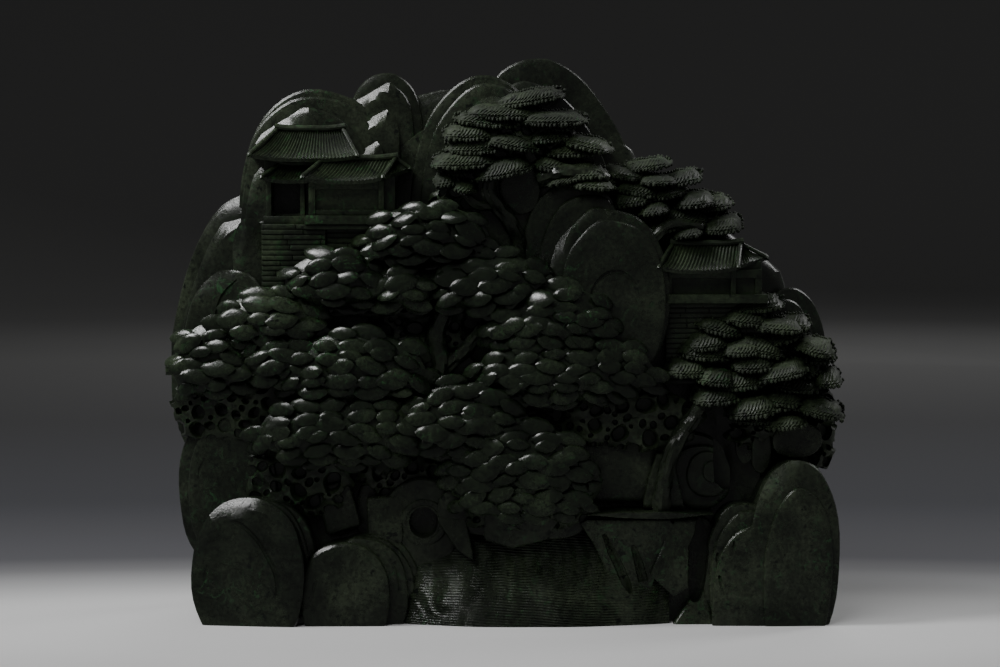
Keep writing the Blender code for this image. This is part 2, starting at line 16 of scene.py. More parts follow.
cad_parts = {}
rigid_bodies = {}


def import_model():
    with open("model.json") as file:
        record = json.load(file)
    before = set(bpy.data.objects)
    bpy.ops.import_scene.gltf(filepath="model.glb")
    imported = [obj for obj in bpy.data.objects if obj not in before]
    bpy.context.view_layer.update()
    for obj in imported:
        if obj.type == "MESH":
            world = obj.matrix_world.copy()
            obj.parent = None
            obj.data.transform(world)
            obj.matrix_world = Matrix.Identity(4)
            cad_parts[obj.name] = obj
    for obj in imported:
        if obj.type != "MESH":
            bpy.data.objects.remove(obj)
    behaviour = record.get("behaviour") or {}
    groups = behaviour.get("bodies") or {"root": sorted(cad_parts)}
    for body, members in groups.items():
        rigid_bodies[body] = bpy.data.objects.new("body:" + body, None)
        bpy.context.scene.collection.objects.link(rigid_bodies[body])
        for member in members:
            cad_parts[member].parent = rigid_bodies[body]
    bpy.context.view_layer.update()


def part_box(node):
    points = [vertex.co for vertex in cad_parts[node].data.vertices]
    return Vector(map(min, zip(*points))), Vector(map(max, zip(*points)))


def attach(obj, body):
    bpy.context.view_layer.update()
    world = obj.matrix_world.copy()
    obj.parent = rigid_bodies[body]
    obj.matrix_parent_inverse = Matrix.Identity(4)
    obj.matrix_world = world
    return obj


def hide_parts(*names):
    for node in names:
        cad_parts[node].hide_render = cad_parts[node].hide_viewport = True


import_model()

bl_info = {
    "name": "Jade Mountain Carving",
    "version": (1, 0, 0),
    "blender": (4, 5, 0),
    "location": "3D View > Sidebar > Carving",
    "description": "Models a carved jade mountain landscape and the table that it is seen on",
    "category": "Add Mesh",
}

NODE = "jade_mountain"

Slab = namedtuple("Slab", "across up wide high front lean turn square facets", defaults=(0, 0, 2.2, ()))
Pad = namedtuple("Pad", "across up wide high edge crown slant", defaults=(0,))
Roof = namedtuple("Roof", "ridge_ends eaves_ends heights fronts corner")
Block = namedtuple("Block", "left right low high front")
Shard = namedtuple("Shard", "corners fronts")

# Rings of points on the blanks, as shares of the radius from the rim inward, and the share outside
# which a face's worn edge lies. A block's bevel is a share of half its blank
ROCK_RINGS = (0.98, 0.94, 0.86, 0.76, 0.66, 0.56, 0.45, 0.34, 0.22, 0.10)
WEB_RINGS = (0.97, 0.93, 0.86, 0.79, 0.72, 0.65, 0.58, 0.50, 0.42, 0.34, 0.26, 0.17, 0.08)
PAD_RINGS = (0.9, 0.7, 0.4)
LEAF_RINGS = (0.84, 0.5)
DRILL_RINGS = (0.9,)
EDGE_START = 0.86
BLOCK_BEVEL = 0.1

# Distance in metres under which two points are welded into one
WELD = 0.000001

# Angles in degrees past which two faces meet in a crisp edge
ROCK_CREASE = 21
LEAF_CREASE = 25
FINE_CREASE = 34

# Each finish is (gains on the green, roughness, depth of the fine pitting, share of bright flecks). The
# gains make lighter copies of the one jade. The web's gain is painted light over the shade it lies in under
# the pads. The leaf, needle and satin gains are partly the paler tone of matte cut work and partly a
# painted glow of light through thin parts.
FINISHES = {
    "polished": ((0.95, 1.00, 0.92), 0.25, 0.45, 0.9),
    "leaf": ((1.00, 1.15, 0.96), 0.21, 0.40, 1.0),
    "web": ((1.40, 1.52, 1.28), 0.34, 0.45, 1.0),
    "needle": ((1.28, 1.42, 1.18), 0.60, 0.22, 0.6),
    "satin": ((1.25, 1.45, 1.15), 0.36, 0.35, 1.0),
}

# A facet is (angle round the face, share of the face where it starts, slope back)
PEAKS = (
    Slab(-0.275, 0.730, 0.118, 0.216, 0.10),
    Slab(-0.281, 0.724, 0.111, 0.211, 0.125),
    Slab(-0.289, 0.712, 0.101, 0.201, 0.15, facets=((112, 0.90, 1.35),)),
    Slab(
        -0.298, 0.700, 0.084, 0.186, 0.175, 4,
        facets=((110, 0.72, 1.45), (84, 0.84, 0.9), (140, 0.90, 1.0)),
    ),
    Slab(-0.181, 0.845, 0.059, 0.131, 0.06, 4),
    Slab(-0.186, 0.838, 0.052, 0.121, 0.085, 4, facets=((109, 0.80, 1.53),)),
    Slab(-0.193, 0.816, 0.038, 0.098, 0.12, 6, facets=((107, 0.68, 1.69), (60, 0.76, 0.8))),
    Slab(-0.204, 0.786, 0.026, 0.070, 0.16, 8, facets=((106, 0.60, 1.75), (60, 0.66, 0.8))),
    Slab(-0.044, 0.756, 0.096, 0.214, 0.12, 7),
    Slab(-0.038, 0.750, 0.087, 0.206, 0.15, 7),
    Slab(-0.028, 0.740, 0.074, 0.192, 0.18, 7, facets=((110, 0.80, 0.6),)),
    Slab(0.080, 0.838, 0.091, 0.176, 0.02, -30),
    Slab(0.066, 0.812, 0.076, 0.156, 0.09, -28),
    Slab(0.223, 0.612, 0.112, 0.250, 0.03, -48, 0, 3),
    Slab(0.215, 0.596, 0.109, 0.243, 0.075, -48, 0, 3),
    Slab(0.425, 0.440, 0.058, 0.150, 0.10, 0, 12),
    Slab(0.414, 0.426, 0.053, 0.143, 0.145, 0, 11),
)

BOULDERS = (
    Slab(-0.402, 0.512, 0.096, 0.250, 0.12, 11, -16, facets=((103, 0.90, 1.45),)),
    Slab(-0.394, 0.503, 0.088, 0.239, 0.16, 11, -14, facets=((103, 0.84, 1.45), (150, 0.92, 0.8))),
    Slab(-0.408, 0.470, 0.072, 0.154, 0.235, 4, -14, facets=((105, 0.80, 0.5),)),
    Slab(-0.362, 0.600, 0.034, 0.118, 0.22, -9, 4, facets=((60, 0.50, 0.5), (130, 0.70, 1.0))),
    Slab(-0.408, 0.235, 0.076, 0.150, 0.26, 0, -12),
    Slab(-0.400, 0.230, 0.067, 0.137, 0.295, 0, -8),
    Slab(0.096, 0.645, 0.076, 0.140, 0.22, 10),
    Slab(0.112, 0.632, 0.064, 0.128, 0.262, 10),
    Slab(0.128, 0.622, 0.050, 0.114, 0.30, 10),
    Slab(0.021, 0.772, 0.030, 0.050, 0.215, -6),
    Slab(0.151, 0.576, 0.090, 0.157, 0.305, facets=((125, 0.80, 0.8),)),
    Slab(0.157, 0.567, 0.077, 0.146, 0.35, facets=((58, 0.84, 0.35),)),
    Slab(0.272, 0.262, 0.058, 0.072, 0.26, -4),
    Slab(0.287, 0.256, 0.046, 0.058, 0.30),
    Slab(0.298, 0.262, 0.032, 0.042, 0.32, 8),
    Slab(0.303, 0.268, 0.014, 0.019, 0.345),
    Slab(0.376, 0.302, 0.015, 0.040, 0.30, 4),
    Slab(0.352, 0.312, 0.012, 0.034, 0.27, -4),
    Slab(0.429, 0.322, 0.038, 0.032, 0.30, 0, 8),
    Slab(-0.346, 0.094, 0.072, 0.126, 0.40),
    Slab(-0.358, 0.092, 0.074, 0.132, 0.425),
    Slab(
        -0.374, 0.088, 0.084, 0.138, 0.468, 0, -8,
        facets=((103, 0.80, 0.99), (58, 0.84, 0.8), (152, 0.82, 0.7)),
    ),
    Slab(-0.192, 0.052, 0.068, 0.106, 0.37, 0, 4),
    Slab(-0.199, 0.052, 0.067, 0.103, 0.395, 0, 2),
    Slab(-0.206, 0.052, 0.066, 0.101, 0.42),
    Slab(-0.232, 0.050, 0.065, 0.098, 0.468, facets=((115, 0.94, 1.1),)),
    Slab(0.352, 0.070, 0.062, 0.144, 0.38, 0, 3),
    Slab(0.360, 0.062, 0.062, 0.140, 0.415, 0, 3),
    Slab(0.383, 0.036, 0.082, 0.146, 0.452, 0, 2, 2.4),
    Slab(0.420, 0.108, 0.067, 0.184, 0.436, 3, 4, facets=((122, 0.80, 1.0),)),
    Slab(0.425, 0.084, 0.050, 0.160, 0.464, 3, 3),
    Slab(-0.124, 0.172, 0.060, 0.086, 0.34, 20),
    Slab(-0.160, 0.190, 0.060, 0.070, 0.26, 0, 0, 3),
    Slab(0.010, 0.196, 0.110, 0.046, 0.36, 4, 0, 3),
    Slab(-0.103, 0.438, 0.019, 0.026, 0.30),
    Slab(-0.128, 0.462, 0.046, 0.044, 0.26, 14, 0, 2.6),
    Slab(-0.066, 0.432, 0.030, 0.050, 0.24, -14),
    Slab(0.222, 0.100, 0.100, 0.110, 0.20, 0, 0, 3),
    Slab(0.270, 0.020, 0.050, 0.170, 0.32, 6),
)

# Lace of drilled rock below the foliage
WEBS = (
    Slab(-0.405, 0.375, 0.092, 0.062, 0.31, -3, -10, 2.6),
    Slab(-0.300, 0.262, 0.078, 0.080, 0.35, -12, 0, 2.6),
    Slab(-0.150, 0.262, 0.066, 0.044, 0.33, 0, 0, 2.6),
    Slab(0.036, 0.222, 0.098, 0.060, 0.435, -4, 0, 2.6),
    Slab(0.175, 0.362, 0.108, 0.056, 0.36, 4, 0, 2.6),
    Slab(0.462, 0.338, 0.036, 0.076, 0.23, 0, 16, 2.6),
    Slab(0.400, 0.330, 0.066, 0.030, 0.30, 0, 8, 2.6),
    Slab(0.030, 0.838, 0.085, 0.070, 0.215, 0, 0, 2.6),
    Slab(-0.070, 0.735, 0.042, 0.040, 0.20, 0, 0, 2.6),
    Slab(0.250, 0.690, 0.085, 0.050, 0.17, -28, 0, 2.6),
    Slab(-0.125, 0.512, 0.080, 0.052, 0.25, 0, 0, 2.6),
    Slab(0.060, 0.380, 0.060, 0.060, 0.27, 0, 0, 2.6),
)

# Angular rock: the ledge, the folds that hang from it, and the smooth faces behind. Each has its corners
# and how far forward its top and its bottom stand
SHARDS = (
    Shard((
        (0.100, 0.196), (0.118, 0.203), (0.200, 0.199), (0.306, 0.203), (0.302, 0.190), (0.230, 0.186),
        (0.160, 0.189),
    ), (0.43, 0.415)),
    Shard((
        (0.106, 0.184), (0.129, 0.142), (0.147, 0.093), (0.175, 0.077), (0.184, 0.057), (0.209, 0.048),
        (0.252, 0.184),
    ), (0.405, 0.375)),
    Shard((
        (0.246, 0.184), (0.288, 0.190), (0.268, 0.140), (0.267, 0.066), (0.246, 0.050), (0.211, 0.088),
    ), (0.395, 0.43)),
    Shard(((0.240, -0.010), (0.272, 0.046), (0.296, 0.058), (0.304, -0.010)), (0.37, 0.43)),
    Shard(((0.092, 0.350), (0.228, 0.350), (0.211, 0.214), (0.130, 0.214), (0.112, 0.260)), (0.28, 0.32)),
    Shard(((0.208, 0.250), (0.222, 0.300), (0.246, 0.300), (0.262, 0.204), (0.200, 0.204)), (0.33, 0.36)),
    Shard(((-0.202, 0.222), (-0.148, 0.226), (-0.150, 0.140), (-0.200, 0.140)), (0.34, 0.36)),
    Shard(((-0.276, 0.240), (-0.230, 0.252), (-0.210, 0.170), (-0.262, 0.150)), (0.30, 0.32)),
    Shard(((-0.104, 0.190), (-0.056, 0.186), (-0.044, 0.110), (-0.070, 0.130)), (0.36, 0.40)),
    Shard((
        (-0.030, 0.200), (0.080, 0.190), (0.060, 0.150), (0.010, 0.134), (-0.030, 0.150),
    ), (0.435, 0.41)),
)

# Lines cut into the boulders' faces, with the cut's radius and how far its middle is lifted off them
GROOVE_CUT = (0.0032, 0.0040)
GROOVES = (
    ((-0.417, 0.176), (-0.391, 0.185), (-0.364, 0.162), (-0.344, 0.126), (-0.332, 0.093), (-0.331, 0.059),
     (-0.350, 0.040)),
    ((-0.432, 0.040), (-0.436, 0.090), (-0.425, 0.130)),
    ((-0.176, 0.128), (-0.160, 0.098), (-0.155, 0.060), (-0.160, 0.020)),
    ((-0.266, 0.110), (-0.277, 0.070), (-0.276, 0.030)),
    ((0.120, 0.540), (0.128, 0.590), (0.146, 0.618), (0.168, 0.622), (0.190, 0.600), (0.204, 0.560)),
    ((-0.392, 0.440), (-0.424, 0.500), (-0.418, 0.570), (-0.386, 0.614)),
    ((-0.452, 0.200), (-0.448, 0.270), (-0.420, 0.324)),
    ((0.311, 0.150), (0.309, 0.110), (0.315, 0.070), (0.328, 0.024)),
    ((0.335, 0.176), (0.331, 0.130), (0.332, 0.086)),
)

# Deep slits between folds of rock, open at their lower ends
SLIT_CUT = (0.0078, -0.010)
SLITS = (
    ((0.144, 0.160), (0.155, 0.130), (0.170, 0.092), (0.182, 0.052)),
    ((0.186, 0.140), (0.195, 0.108), (0.202, 0.074)),
)

# Dark hollows, with the place of each floor as its front
HOLLOWS = (
    Slab(-0.320, 0.752, 0.028, 0.028, 0.07, 0, 0, 6),
    Slab(0.333, 0.292, 0.030, 0.056, 0.24, 0, 0, 3),
    Slab(0.283, 0.108, 0.013, 0.072, 0.28, 5),
    Slab(-0.060, 0.395, 0.034, 0.036, 0.22),
    Slab(0.022, 0.560, 0.022, 0.060, 0.12, 12),
)

# Pads of pine leaves
PINE = (
    Pad(-0.113, 0.678, 0.098, 0.068, 0.30, 0.42),
    Pad(-0.247, 0.596, 0.080, 0.066, 0.30, 0.41),
    Pad(-0.340, 0.527, 0.080, 0.066, 0.30, 0.42),
    Pad(-0.420, 0.448, 0.072, 0.092, 0.26, 0.38),
    Pad(-0.016, 0.591, 0.086, 0.070, 0.33, 0.43),
    Pad(0.069, 0.523, 0.098, 0.084, 0.34, 0.46),
    Pad(0.088, 0.440, 0.140, 0.080, 0.36, 0.47),
    Pad(-0.219, 0.436, 0.114, 0.088, 0.36, 0.48),
    Pad(-0.229, 0.333, 0.140, 0.084, 0.37, 0.49),
    Pad(-0.059, 0.349, 0.104, 0.082, 0.38, 0.49),
    Pad(0.020, 0.278, 0.110, 0.084, 0.39, 0.50),
    Pad(0.028, 0.217, 0.102, 0.062, 0.39, 0.49),
    Pad(-0.150, 0.590, 0.056, 0.058, 0.29, 0.40),
    Pad(-0.318, 0.458, 0.070, 0.062, 0.31, 0.43),
)

# Sprays of needles on the smaller trees
NEEDLES = (
    Pad(0.037, 0.900, 0.094, 0.050, 0.16, 0.28),
    Pad(-0.023, 0.861, 0.068, 0.048, 0.20, 0.30),
    Pad(0.090, 0.858, 0.062, 0.044, 0.18, 0.28),
    Pad(-0.026, 0.811, 0.076, 0.056, 0.22, 0.34),
    Pad(0.097, 0.808, 0.060, 0.046, 0.20, 0.31),
    Pad(-0.073, 0.779, 0.033, 0.040, 0.21, 0.31),
    Pad(0.108, 0.782, 0.054, 0.034, 0.22, 0.33),
    Pad(0.206, 0.790, 0.058, 0.038, 0.10, 0.23),
    Pad(0.258, 0.758, 0.054, 0.050, 0.10, 0.24),
    Pad(0.203, 0.744, 0.049, 0.044, 0.16, 0.28),
    Pad(0.302, 0.712, 0.053, 0.054, 0.10, 0.24),
    Pad(0.254, 0.698, 0.042, 0.040, 0.16, 0.28),
    Pad(0.379, 0.534, 0.068, 0.050, 0.22, 0.34),
    Pad(0.323, 0.495, 0.060, 0.050, 0.26, 0.37),
    Pad(0.429, 0.500, 0.056, 0.052, 0.20, 0.33),
    Pad(0.286, 0.448, 0.058, 0.054, 0.28, 0.39),
    Pad(0.382, 0.456, 0.064, 0.054, 0.28, 0.40),
    Pad(0.460, 0.441, 0.040, 0.056, 0.18, 0.31),
    Pad(0.338, 0.395, 0.068, 0.058, 0.30, 0.42),
    Pad(0.436, 0.391, 0.060, 0.054, 0.26, 0.38),
    Pad(0.386, 0.363, 0.060, 0.040, 0.30, 0.40),
)

ROOFS = (
    Roof((-0.334, -0.238), (-0.372, -0.216), (0.874, 0.820, 0.822), (0.17, 0.27), 1.0),
    Roof((-0.330, -0.264), (-0.354, -0.256), (0.812, 0.780, 0.786), (0.20, 0.275), 1.0),
    Roof((-0.264, -0.160), (-0.294, -0.140), (0.822, 0.780, 0.786), (0.24, 0.34), 0.76),
    Roof((0.246, 0.346), (0.224, 0.384), (0.670, 0.622, 0.628), (0.22, 0.33), 0.72),
)

HALLS = (
    Block(-0.354, -0.250, 0.786, 0.830, 0.188),
    Block(-0.286, -0.160, 0.700, 0.800, 0.27),
    Block(0.205, 0.376, 0.560, 0.640, 0.25),
)

# Posts, lintels and sills of the halls
BEAMS = (
    Block(-0.350, -0.342, 0.718, 0.784, 0.230),
    Block(-0.300, -0.293, 0.718, 0.784, 0.230),
    Block(-0.354, -0.286, 0.706, 0.720, 0.235),
    Block(-0.286, -0.276, 0.722, 0.784, 0.300),
    Block(-0.184, -0.176, 0.722, 0.784, 0.300),
    Block(-0.286, -0.176, 0.768, 0.784, 0.296),
    Block(-0.286, -0.176, 0.722, 0.732, 0.292),
    Block(-0.292, -0.154, 0.706, 0.722, 0.305),
    Block(-0.292, -0.154, 0.697, 0.705, 0.292),
    Block(0.236, 0.244, 0.580, 0.630, 0.278),
    Block(0.330, 0.338, 0.580, 0.630, 0.278),
    Block(0.236, 0.376, 0.610, 0.626, 0.274),
    Block(0.205, 0.384, 0.566, 0.582, 0.305),
    Block(0.366, 0.376, 0.580, 0.620, 0.270),
)

TERRACES = (
    Block(-0.356, -0.262, 0.540, 0.706, 0.27),
    Block(-0.262, -0.186, 0.540, 0.700, 0.245),
    Block(0.236, 0.384, 0.420, 0.566, 0.25),
)

# Trunks and boughs, each stop (across, up, front, radius)
LIMBS = (
    ((0.034, 0.590, 0.14, 0.014), (0.016, 0.690, 0.22, 0.012), (-0.010, 0.735, 0.24, 0.0105),
     (-0.024, 0.768, 0.25, 0.010), (-0.014, 0.810, 0.24, 0.010)),
    ((-0.010, 0.738, 0.23, 0.008), (-0.040, 0.740, 0.245, 0.007), (-0.062, 0.765, 0.24, 0.006),
     (-0.076, 0.795, 0.23, 0.005)),
    ((0.050, 0.786, 0.24, 0.009), (0.080, 0.798, 0.27, 0.0105), (0.118, 0.796, 0.27, 0.010),
     (0.152, 0.788, 0.25, 0.006)),
    ((0.206, 0.640, 0.20, 0.011), (0.218, 0.680, 0.25, 0.0095), (0.246, 0.705, 0.24, 0.008),
     (0.290, 0.700, 0.20, 0.006)),
    ((-0.190, 0.270, 0.34, 0.020), (-0.138, 0.350, 0.33, 0.020), (-0.096, 0.440, 0.28, 0.016),
     (-0.100, 0.520, 0.27, 0.013), (-0.064, 0.600, 0.28, 0.010)),
    ((-0.096, 0.440, 0.27, 0.011), (-0.060, 0.480, 0.28, 0.010), (-0.024, 0.530, 0.30, 0.009),
     (0.020, 0.560, 0.31, 0.007)),
    ((0.228, 0.196, 0.36, 0.013), (0.230, 0.240, 0.375, 0.0125), (0.246, 0.312, 0.37, 0.012),
     (0.278, 0.372, 0.34, 0.011), (0.300, 0.420, 0.29, 0.008)),
)

# The cave's place, and the stream's left, right, top, front at the top, bottom and front at the bottom
CAVE = (-0.119, 0.177, 0.34)
STREAM = (-0.165, 0.240, 0.165, 0.28, -0.040, 0.50)
STREAM_FALL = 0.10

# Plain nested boulders on the back, where front counts backward from the middle
BACK = (
    Slab(-0.060, 0.520, 0.200, 0.400, 0.30, 6, 6),
    Slab(-0.040, 0.485, 0.176, 0.356, 0.34, 6, 6),
    Slab(-0.020, 0.450, 0.150, 0.310, 0.38, 6, 6),
    Slab(-0.320, 0.360, 0.150, 0.340, 0.26, 8, -18),
    Slab(-0.290, 0.310, 0.110, 0.270, 0.33, 8, -14),
    Slab(0.260, 0.420, 0.170, 0.340, 0.28, -12, 14),
    Slab(0.250, 0.390, 0.150, 0.306, 0.32, -12, 13),
    Slab(0.240, 0.360, 0.130, 0.270, 0.36, -12, 12),
    Slab(-0.190, 0.080, 0.140, 0.200, 0.42),
    Slab(-0.180, 0.060, 0.118, 0.170, 0.435),
    Slab(0.180, 0.060, 0.150, 0.230, 0.44),
    Slab(0.190, 0.040, 0.124, 0.196, 0.452),
)

# Levels of the stone behind the carving, each (up, left, right, front, back)
MASS_LEVELS = (
    (-0.060, -0.450, 0.450, 0.36, 0.40),
    (0.100, -0.456, 0.462, 0.28, 0.38),
    (0.280, -0.474, 0.470, 0.20, 0.34),
    (0.460, -0.488, 0.470, 0.16, 0.30),
    (0.600, -0.470, 0.420, 0.16, 0.26),
    (0.720, -0.410, 0.320, 0.12, 0.24),
    (0.820, -0.340, 0.200, 0.07, 0.22),
    (0.900, -0.250, 0.140, 0.05, 0.18),
    (0.945, -0.100, 0.080, 0.02, 0.12),
)


def length(name, description, default):
    return FloatProperty(name=name, description=description, default=default, unit="LENGTH")


def colour(name, description, default):
    return FloatVectorProperty(
        name=name, description=description, default=default, size=3, subtype="COLOR"
    )


class CarvingSizes(bpy.types.PropertyGroup):
    """Sizes of the stone and of its finest work."""
    width: length("Width", "Width that the layout's shares are of", 0.350)
    height: length("Height", "Height that the layout's shares are of", 0.288)
    depth: length("Depth", "Depth that the layout's shares are of", 0.124)
    rock_edge: length("Rock edge", "How far a rock's worn edge curves back", 0.0017)
    tool_marks: length("Tool marks", "Depth of the waviness left by grinding", 0.0008)
    leaf_length: length("Leaf length", "Length of one pine leaf", 0.0156)
    leaf_row: length("Leaf row", "Distance between rows of pine leaves", 0.0056)
    needle_pitch: length("Needle pitch", "Distance between knobs on the needle pads", 0.0019)
    needle_relief: length("Needle relief", "Depth of the cuts between them", 0.0006)
    bead: length("Edge bead", "Radius of the beads along a needle pad's edge", 0.0017)
    ripple_pitch: length("Ripple pitch", "Distance between ripples on the stream", 0.0013)
    ripple: length("Ripple", "Height of a ripple", 0.00042)
    tile_pitch: length("Tile pitch", "Distance between tile ribs", 0.0019)
    tile_relief: length("Tile relief", "Height of a tile rib", 0.0006)
    course: length("Course", "Height of a course of masonry", 0.0027)
    cave_radius: length("Cave radius", "Radius of the round cave", 0.0088)
    slab_sides: IntProperty(
        name="Rock sides", description="Points around a rock's outline", default=44, min=12
    )


class CarvingColours(bpy.types.PropertyGroup):
    """Colours of the stone and of the table."""
    deep: colour("Deep green", "The stone's darkest green", (0.0055, 0.0074, 0.0050))
    body: colour("Body green", "The stone's main green", (0.0140, 0.0182, 0.0120))
    pale: colour("Pale green", "The stone's paler cloud", (0.0290, 0.0370, 0.0240))
    fleck: colour("Fleck green", "Bright flecks in the stone", (0.0240, 0.0850, 0.0320))
    # The table and wall colours are the two ends of the backdrop's painted pool of light and its painted
    # fall-off into shade.
    table: colour("Table", "Colour of the table", (0.68, 0.68, 0.68))
    wall: colour("Wall", "Colour high on the backdrop", (0.098, 0.098, 0.097))


def sizes():
    return bpy.context.scene.carving_sizes


def colours():
    return bpy.context.scene.carving_colours


def place(across, up, front):
    """The point for a place given as shares of the stone's size."""
    s = sizes()
    return Vector((across * s.width, -front * s.depth, up * s.height))


def rear_depth(across, up):
    """Where a form at this place stops inside the stone, in metres behind the middle."""
    return (0.10 + 0.04 * math.sin(47 * across + 31 * up)) * sizes().depth


def power(value, exponent):
    return math.copysign(abs(value) ** exponent, value)


def deselect():
    if bpy.context.object and bpy.context.object.mode != "OBJECT":
        bpy.ops.object.mode_set(mode="OBJECT")
    bpy.ops.object.select_all(action="DESELECT")


def pick(*objects):
    deselect()
    for item in objects:
        item.select_set(True)
    bpy.context.view_layer.objects.active = objects[0]


def settle(thing):
    """Puts an object's place into its mesh."""
    pick(thing)
    bpy.ops.object.transform_apply(location=True, rotation=True, scale=True)


def work_collection(name):
    collection = bpy.data.collections.new(name)
    bpy.context.scene.collection.children.link(collection)
    return collection


def clear_away(collection):
    for thing in list(collection.objects):
        mesh = thing.data
        bpy.data.objects.remove(thing)
        if mesh and mesh.users == 0:
            bpy.data.meshes.remove(mesh)
    bpy.data.collections.remove(collection)


def edit_all(kind="FACE"):
    """Goes into edit mode with everything selected."""
    bpy.ops.object.mode_set(mode="EDIT")
    bpy.ops.mesh.select_mode(type=kind)
    bpy.ops.mesh.select_all(action="SELECT")


def face_outward(inside=False):
    """Makes all the faces look outward, or inward, and leaves edit mode."""
    bpy.ops.mesh.select_all(action="SELECT")
    bpy.ops.mesh.normals_make_consistent(inside=inside)
    bpy.ops.object.mode_set(mode="OBJECT")


def domed_blank(name, sides, rings, collection):
    """A blank disc facing -Y: a rear face at y = 1, a rim at y = 0, and rings inward to a centre."""
    deselect()
    bpy.ops.mesh.primitive_circle_add(
        vertices=sides, radius=1, fill_type="NGON", location=(0, 1, 0), rotation=(math.pi / 2, 0, 0)
    )
    blank = bpy.context.object
    blank.name = name
    settle(blank)
    edit_all()
    bpy.ops.mesh.extrude_region_move(TRANSFORM_OT_translate={"value": (0, -1, 0)})
    share = 1.0
    for ring in rings:
        bpy.ops.mesh.extrude_region_move(TRANSFORM_OT_translate={"value": (0, -0.01, 0)})
        bpy.ops.transform.resize(value=(ring / share, 1, ring / share), center_override=(0, 0, 0))
        share = ring
    bpy.ops.mesh.poke()
    face_outward()
    move_to(blank, collection)
    return blank


def column(name, sides, levels):
    """A straight closed column along Z, with a ring of points at each whole height."""
    deselect()
    bpy.ops.mesh.primitive_circle_add(vertices=sides, radius=1, fill_type="NGON")
    thing = bpy.context.object
    thing.name = name
    edit_all()
    for _ in range(levels):
        bpy.ops.mesh.extrude_region_move(TRANSFORM_OT_translate={"value": (0, 0, 1)})
    face_outward()
    return thing


def shape_copy(name, blank, collection, shaper):
    """A copy of a domed blank, each point placed by its share of the radius and its angle."""
    mesh = blank.data.copy()
    for vertex in mesh.vertices:
        x, y, z = vertex.co
        vertex.co = shaper(math.hypot(x, z), math.atan2(z, x), y > 0.5)
    thing = bpy.data.objects.new(name, mesh)
    collection.objects.link(thing)
    return thing


def turn_and_lean(form):
    """A form's turn to one side and its lean, as one rotation."""
    turned = Matrix.Rotation(math.radians(form.turn), 4, "Z")
    return turned @ Matrix.Rotation(math.radians(form.lean), 4, "Y")


def past_edge(share):
    """How far a point is into the worn edge of its face: 0 where that starts, 1 at the rim."""
    return max(0.0, (share - EDGE_START) / (1 - EDGE_START))


def rock_slab(name, form, blank, collection, facing=1):
    """One rock face, nearly flat and ground in shallow facets, with its worn edge widest on top."""
    s = sizes()
    wide, high = form.wide * s.width, form.high * s.height
    reach = form.front * s.depth + rear_depth(form.across, form.up)
    pose = turn_and_lean(form)
    middle = place(form.across, form.up, form.front)
    seed = 13 * form.across + 7 * form.up

    def shaper(share, angle, rear):
        wobble = 1 + 0.03 * noise.noise(Vector((2 * math.cos(angle), 2 * math.sin(angle), 9 * seed)))
        x = wide * share * wobble * power(math.cos(angle), 2 / form.square)
        z = high * share * wobble * power(math.sin(angle), 2 / form.square)
        if rear:
            x, z, y = 0.92 * x, 0.92 * z, reach
        elif share > EDGE_START:
            edge = min(s.rock_edge * (0.55 + 0.75 * max(0.0, math.sin(angle))), 0.2 * min(wide, high))
            y = edge * (1 - math.sqrt(max(0.0, 1 - past_edge(share) ** 2)))
        else:
            y = -0.03 * min(wide, high) * (1 - (share / EDGE_START) ** 2)
        if not rear:
            for around, start, slope in form.facets:
                facet_x, facet_z = math.cos(math.radians(around)), math.sin(math.radians(around))
                out = facet_x * x / wide + facet_z * z / high
                y = max(y, (out - start) * min(wide, high) * slope)
        point = middle + pose @ Vector((x, y, z))
        if not rear:
            point.y += ground(point, seed)
        return Vector((point.x, point.y * facing, point.z))

    slab = shape_copy(name, blank, collection, shaper)
    if facing < 0:
        slab.data.flip_normals()


def ground(point, seed=0.0):
    """How far in the grinding wheel went at a point: shallow scallops that meet in soft ridges."""
    s = sizes()
    spread = noise.voronoi(point * 62 + Vector((seed, seed, 0)))[0][0]
    return s.tool_marks * (noise.noise(point * 55 + Vector((seed, 0, 0))) + 0.9 * spread * spread)


def reach_to_edge(corners, centre, angle):
    """How far a shape with these corners reaches from its centre at an angle."""
    ray_x, ray_z = math.cos(angle), math.sin(angle)
    best = 0.0
    for start, end in zip(corners, corners[1:] + corners[:1]):
        off_x, off_z = start[0] - centre[0], start[1] - centre[1]
        run_x, run_z = end[0] - start[0], end[1] - start[1]
        cross = ray_x * run_z - ray_z * run_x
        if abs(cross) < 1e-12:
            continue
        distance = (off_x * run_z - off_z * run_x) / cross
        along = (off_x * ray_z - off_z * ray_x) / cross
        if distance > 0 and -1e-6 <= along <= 1 + 1e-6:
            best = max(best, distance)
    return best


def rock_shard(name, form, blank, collection):
    """An angular piece of rock, cut to its corners, leaning from its top front to its bottom front."""
    s = sizes()
    corners = [(across * s.width, up * s.height) for across, up in form.corners]
    centre = [sum(corner[i] for corner in corners) / len(corners) for i in (0, 1)]
    top = max(corner[1] for corner in corners)
    low = min(corner[1] for corner in corners)
    rear = rear_depth(centre[0] / s.width, centre[1] / s.height)

    def shaper(share, angle, behind):
        reach = share * reach_to_edge(corners, centre, angle)
        x, z = centre[0] + reach * math.cos(angle), centre[1] + reach * math.sin(angle)
        down = (top - z) / (top - low)
        y = -s.depth * (form.fronts[0] + (form.fronts[1] - form.fronts[0]) * down)
        point = Vector((x, y + 0.5 * s.rock_edge * past_edge(share) ** 2, z))
        point.y += 1.2 * ground(point)
        if behind:
            point.y = rear
        return point

    shape_copy(name, blank, collection, shaper)


